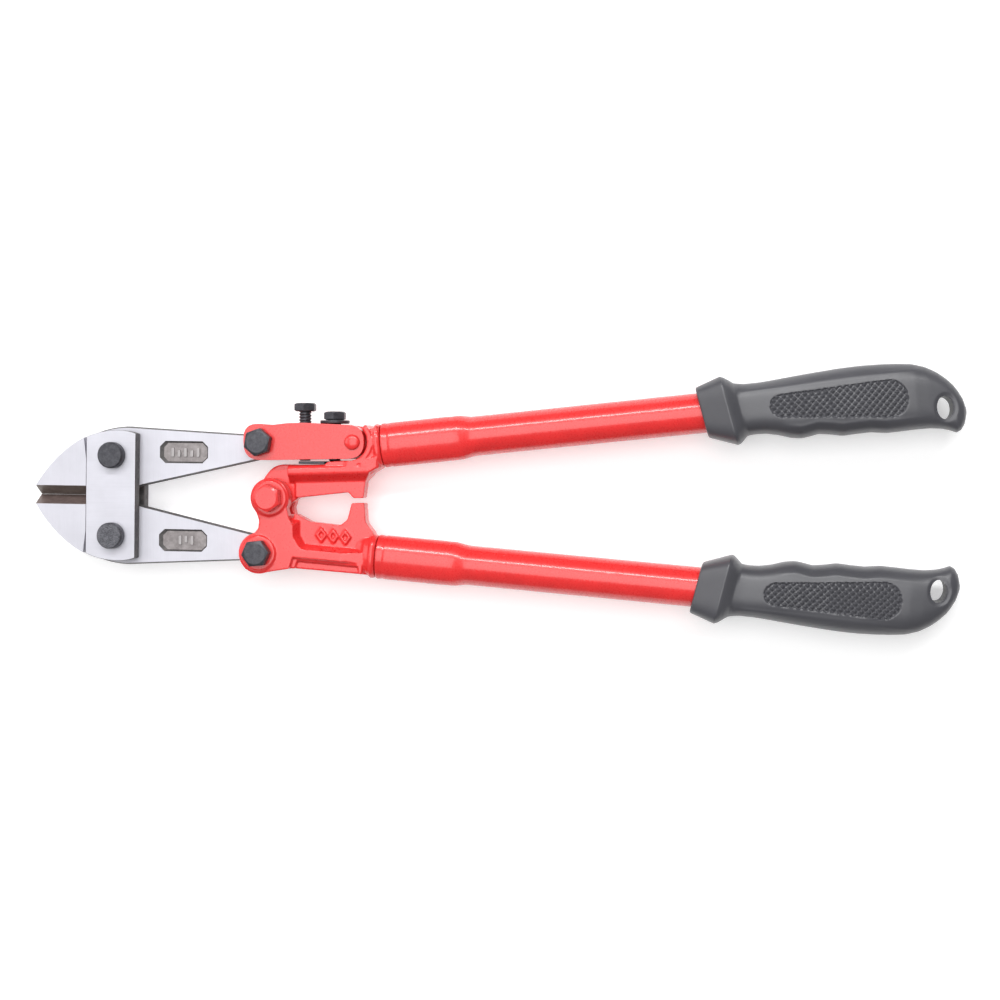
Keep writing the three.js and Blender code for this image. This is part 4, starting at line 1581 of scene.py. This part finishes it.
@dataclass(frozen=True)
class Studio:
    """Camera, floor and soft light."""

    bed: Bed
    aim: Point = (192.95, 0.0)
    foot: Point = (318.6, 12.1)
    height: float = 800.0
    lens: float = 60.3

    def camera(self) -> None:
        """The camera above the tool."""
        data = bpy.data.cameras.new("camera")
        data.lens = self.lens
        data.sensor_width = 36.0
        data.clip_end = 10.0
        camera = bpy.data.objects.new("camera", data)
        bpy.context.scene.collection.objects.link(camera)
        target = self.bed.matrix() @ Vector((*self.aim, 0))
        camera.location = self.bed.matrix() @ Vector((*self.foot, self.height))
        away = (camera.location - target).normalized()
        right = Vector((0, 1, 0)).cross(away).normalized()
        camera.rotation_euler = Matrix((right, away.cross(right), away)).transposed().to_euler()
        bpy.context.scene.camera = camera

    def floor(self, paper: bpy.types.Material) -> None:
        """A plain pale sweep."""
        clear_bench()
        bpy.ops.mesh.primitive_plane_add(size=6, location=(0, 0, 0))
        floor = bpy.context.object
        floor.name = "studio_floor"
        floor.data.materials.append(paper)

    def lamp(self, name: str, place: Sequence[float], size: Sequence[float], power: float) -> None:
        """A soft box of the given length and width that faces the tool's middle."""
        data = bpy.data.lights.new(name, "AREA")
        data.shape = "RECTANGLE"
        data.size, data.size_y = size
        data.energy = power
        lamp = bpy.data.objects.new(name, data)
        bpy.context.scene.collection.objects.link(lamp)
        lamp.location = place
        lamp.rotation_euler = Vector(place).to_track_quat("Z", "Y").to_euler()

    def sky(self, strength: float) -> None:
        """An even white surround."""
        world = bpy.data.worlds.new("surround")
        bpy.context.scene.world = world
        world.use_nodes = True
        world.node_tree.nodes["Background"].inputs["Color"].default_value = (1, 1, 1, 1)
        world.node_tree.nodes["Background"].inputs["Strength"].default_value = strength

    def build(self) -> None:
        """Sets up the whole studio."""
        self.camera()
        self.floor(StudioPaper().make())
        self.lamp("overhead", (0.0, 0.12, 1.5), (1.4, 1.2), 15.5)
        self.lamp("rear_strip", (0.05, 1.05, 1.3), (2.0, 0.17), 21.0)
        self.lamp("left_fill", (-1.2, 0.3, 0.9), (0.9, 0.9), 5.0)
        self.sky(0.2)
        bpy.context.scene.view_settings.view_transform = "Standard"


def main() -> None:
    """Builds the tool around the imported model."""
    finishes = Finishes()
    tool, head = tool_bed(), head_bed()
    pins = Linkage(tool)
    Studio(tool).build()
    Blade(1, "upper", (28.4, 31.6, 34.9, 38.2, 41.5)).build(head, finishes)
    Blade(-1, "lower", (32.6, 35.7, 38.8)).build(head, finishes)
    for name, face in (("front", 1), ("rear", -1)):
        HeadPlate(name, face).build(head, finishes)
    HeadBolt("upper", 1, False).build(head, finishes)
    HeadBolt("lower", -1, True).build(head, finishes)
    AdjusterLink(pins).build(finishes)
    for name, body, centre, seat, turn, slot_name, finish in (
        ("upper_tail", "link", pins.upper_tail, CHEEK_OUTER, 0.35, "black_steel", finishes.black),
        ("lower_tail", "lower_handle", pins.lower_tail, BOSS_OUTER, 0.1, "black_steel", finishes.black),
        ("main_pivot", "lower_handle", pins.main, BOSS_OUTER, 0.6, "red_paint", finishes.red_cast),
    ):
        PinSet(name, body, centre, seat, turn, slot_name).build(tool, finish)
    UpperBracket(pins).build(finishes)
    LowerBracket(pins).build(finishes)
    for line in (UPPER, LOWER):
        Tube(line).build(tool, finishes)
        Grip(line).build(tool, finishes)
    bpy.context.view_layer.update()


if __name__ == "__main__":
    logging.basicConfig(level=logging.INFO, format="%(name)s: %(message)s")
    main()
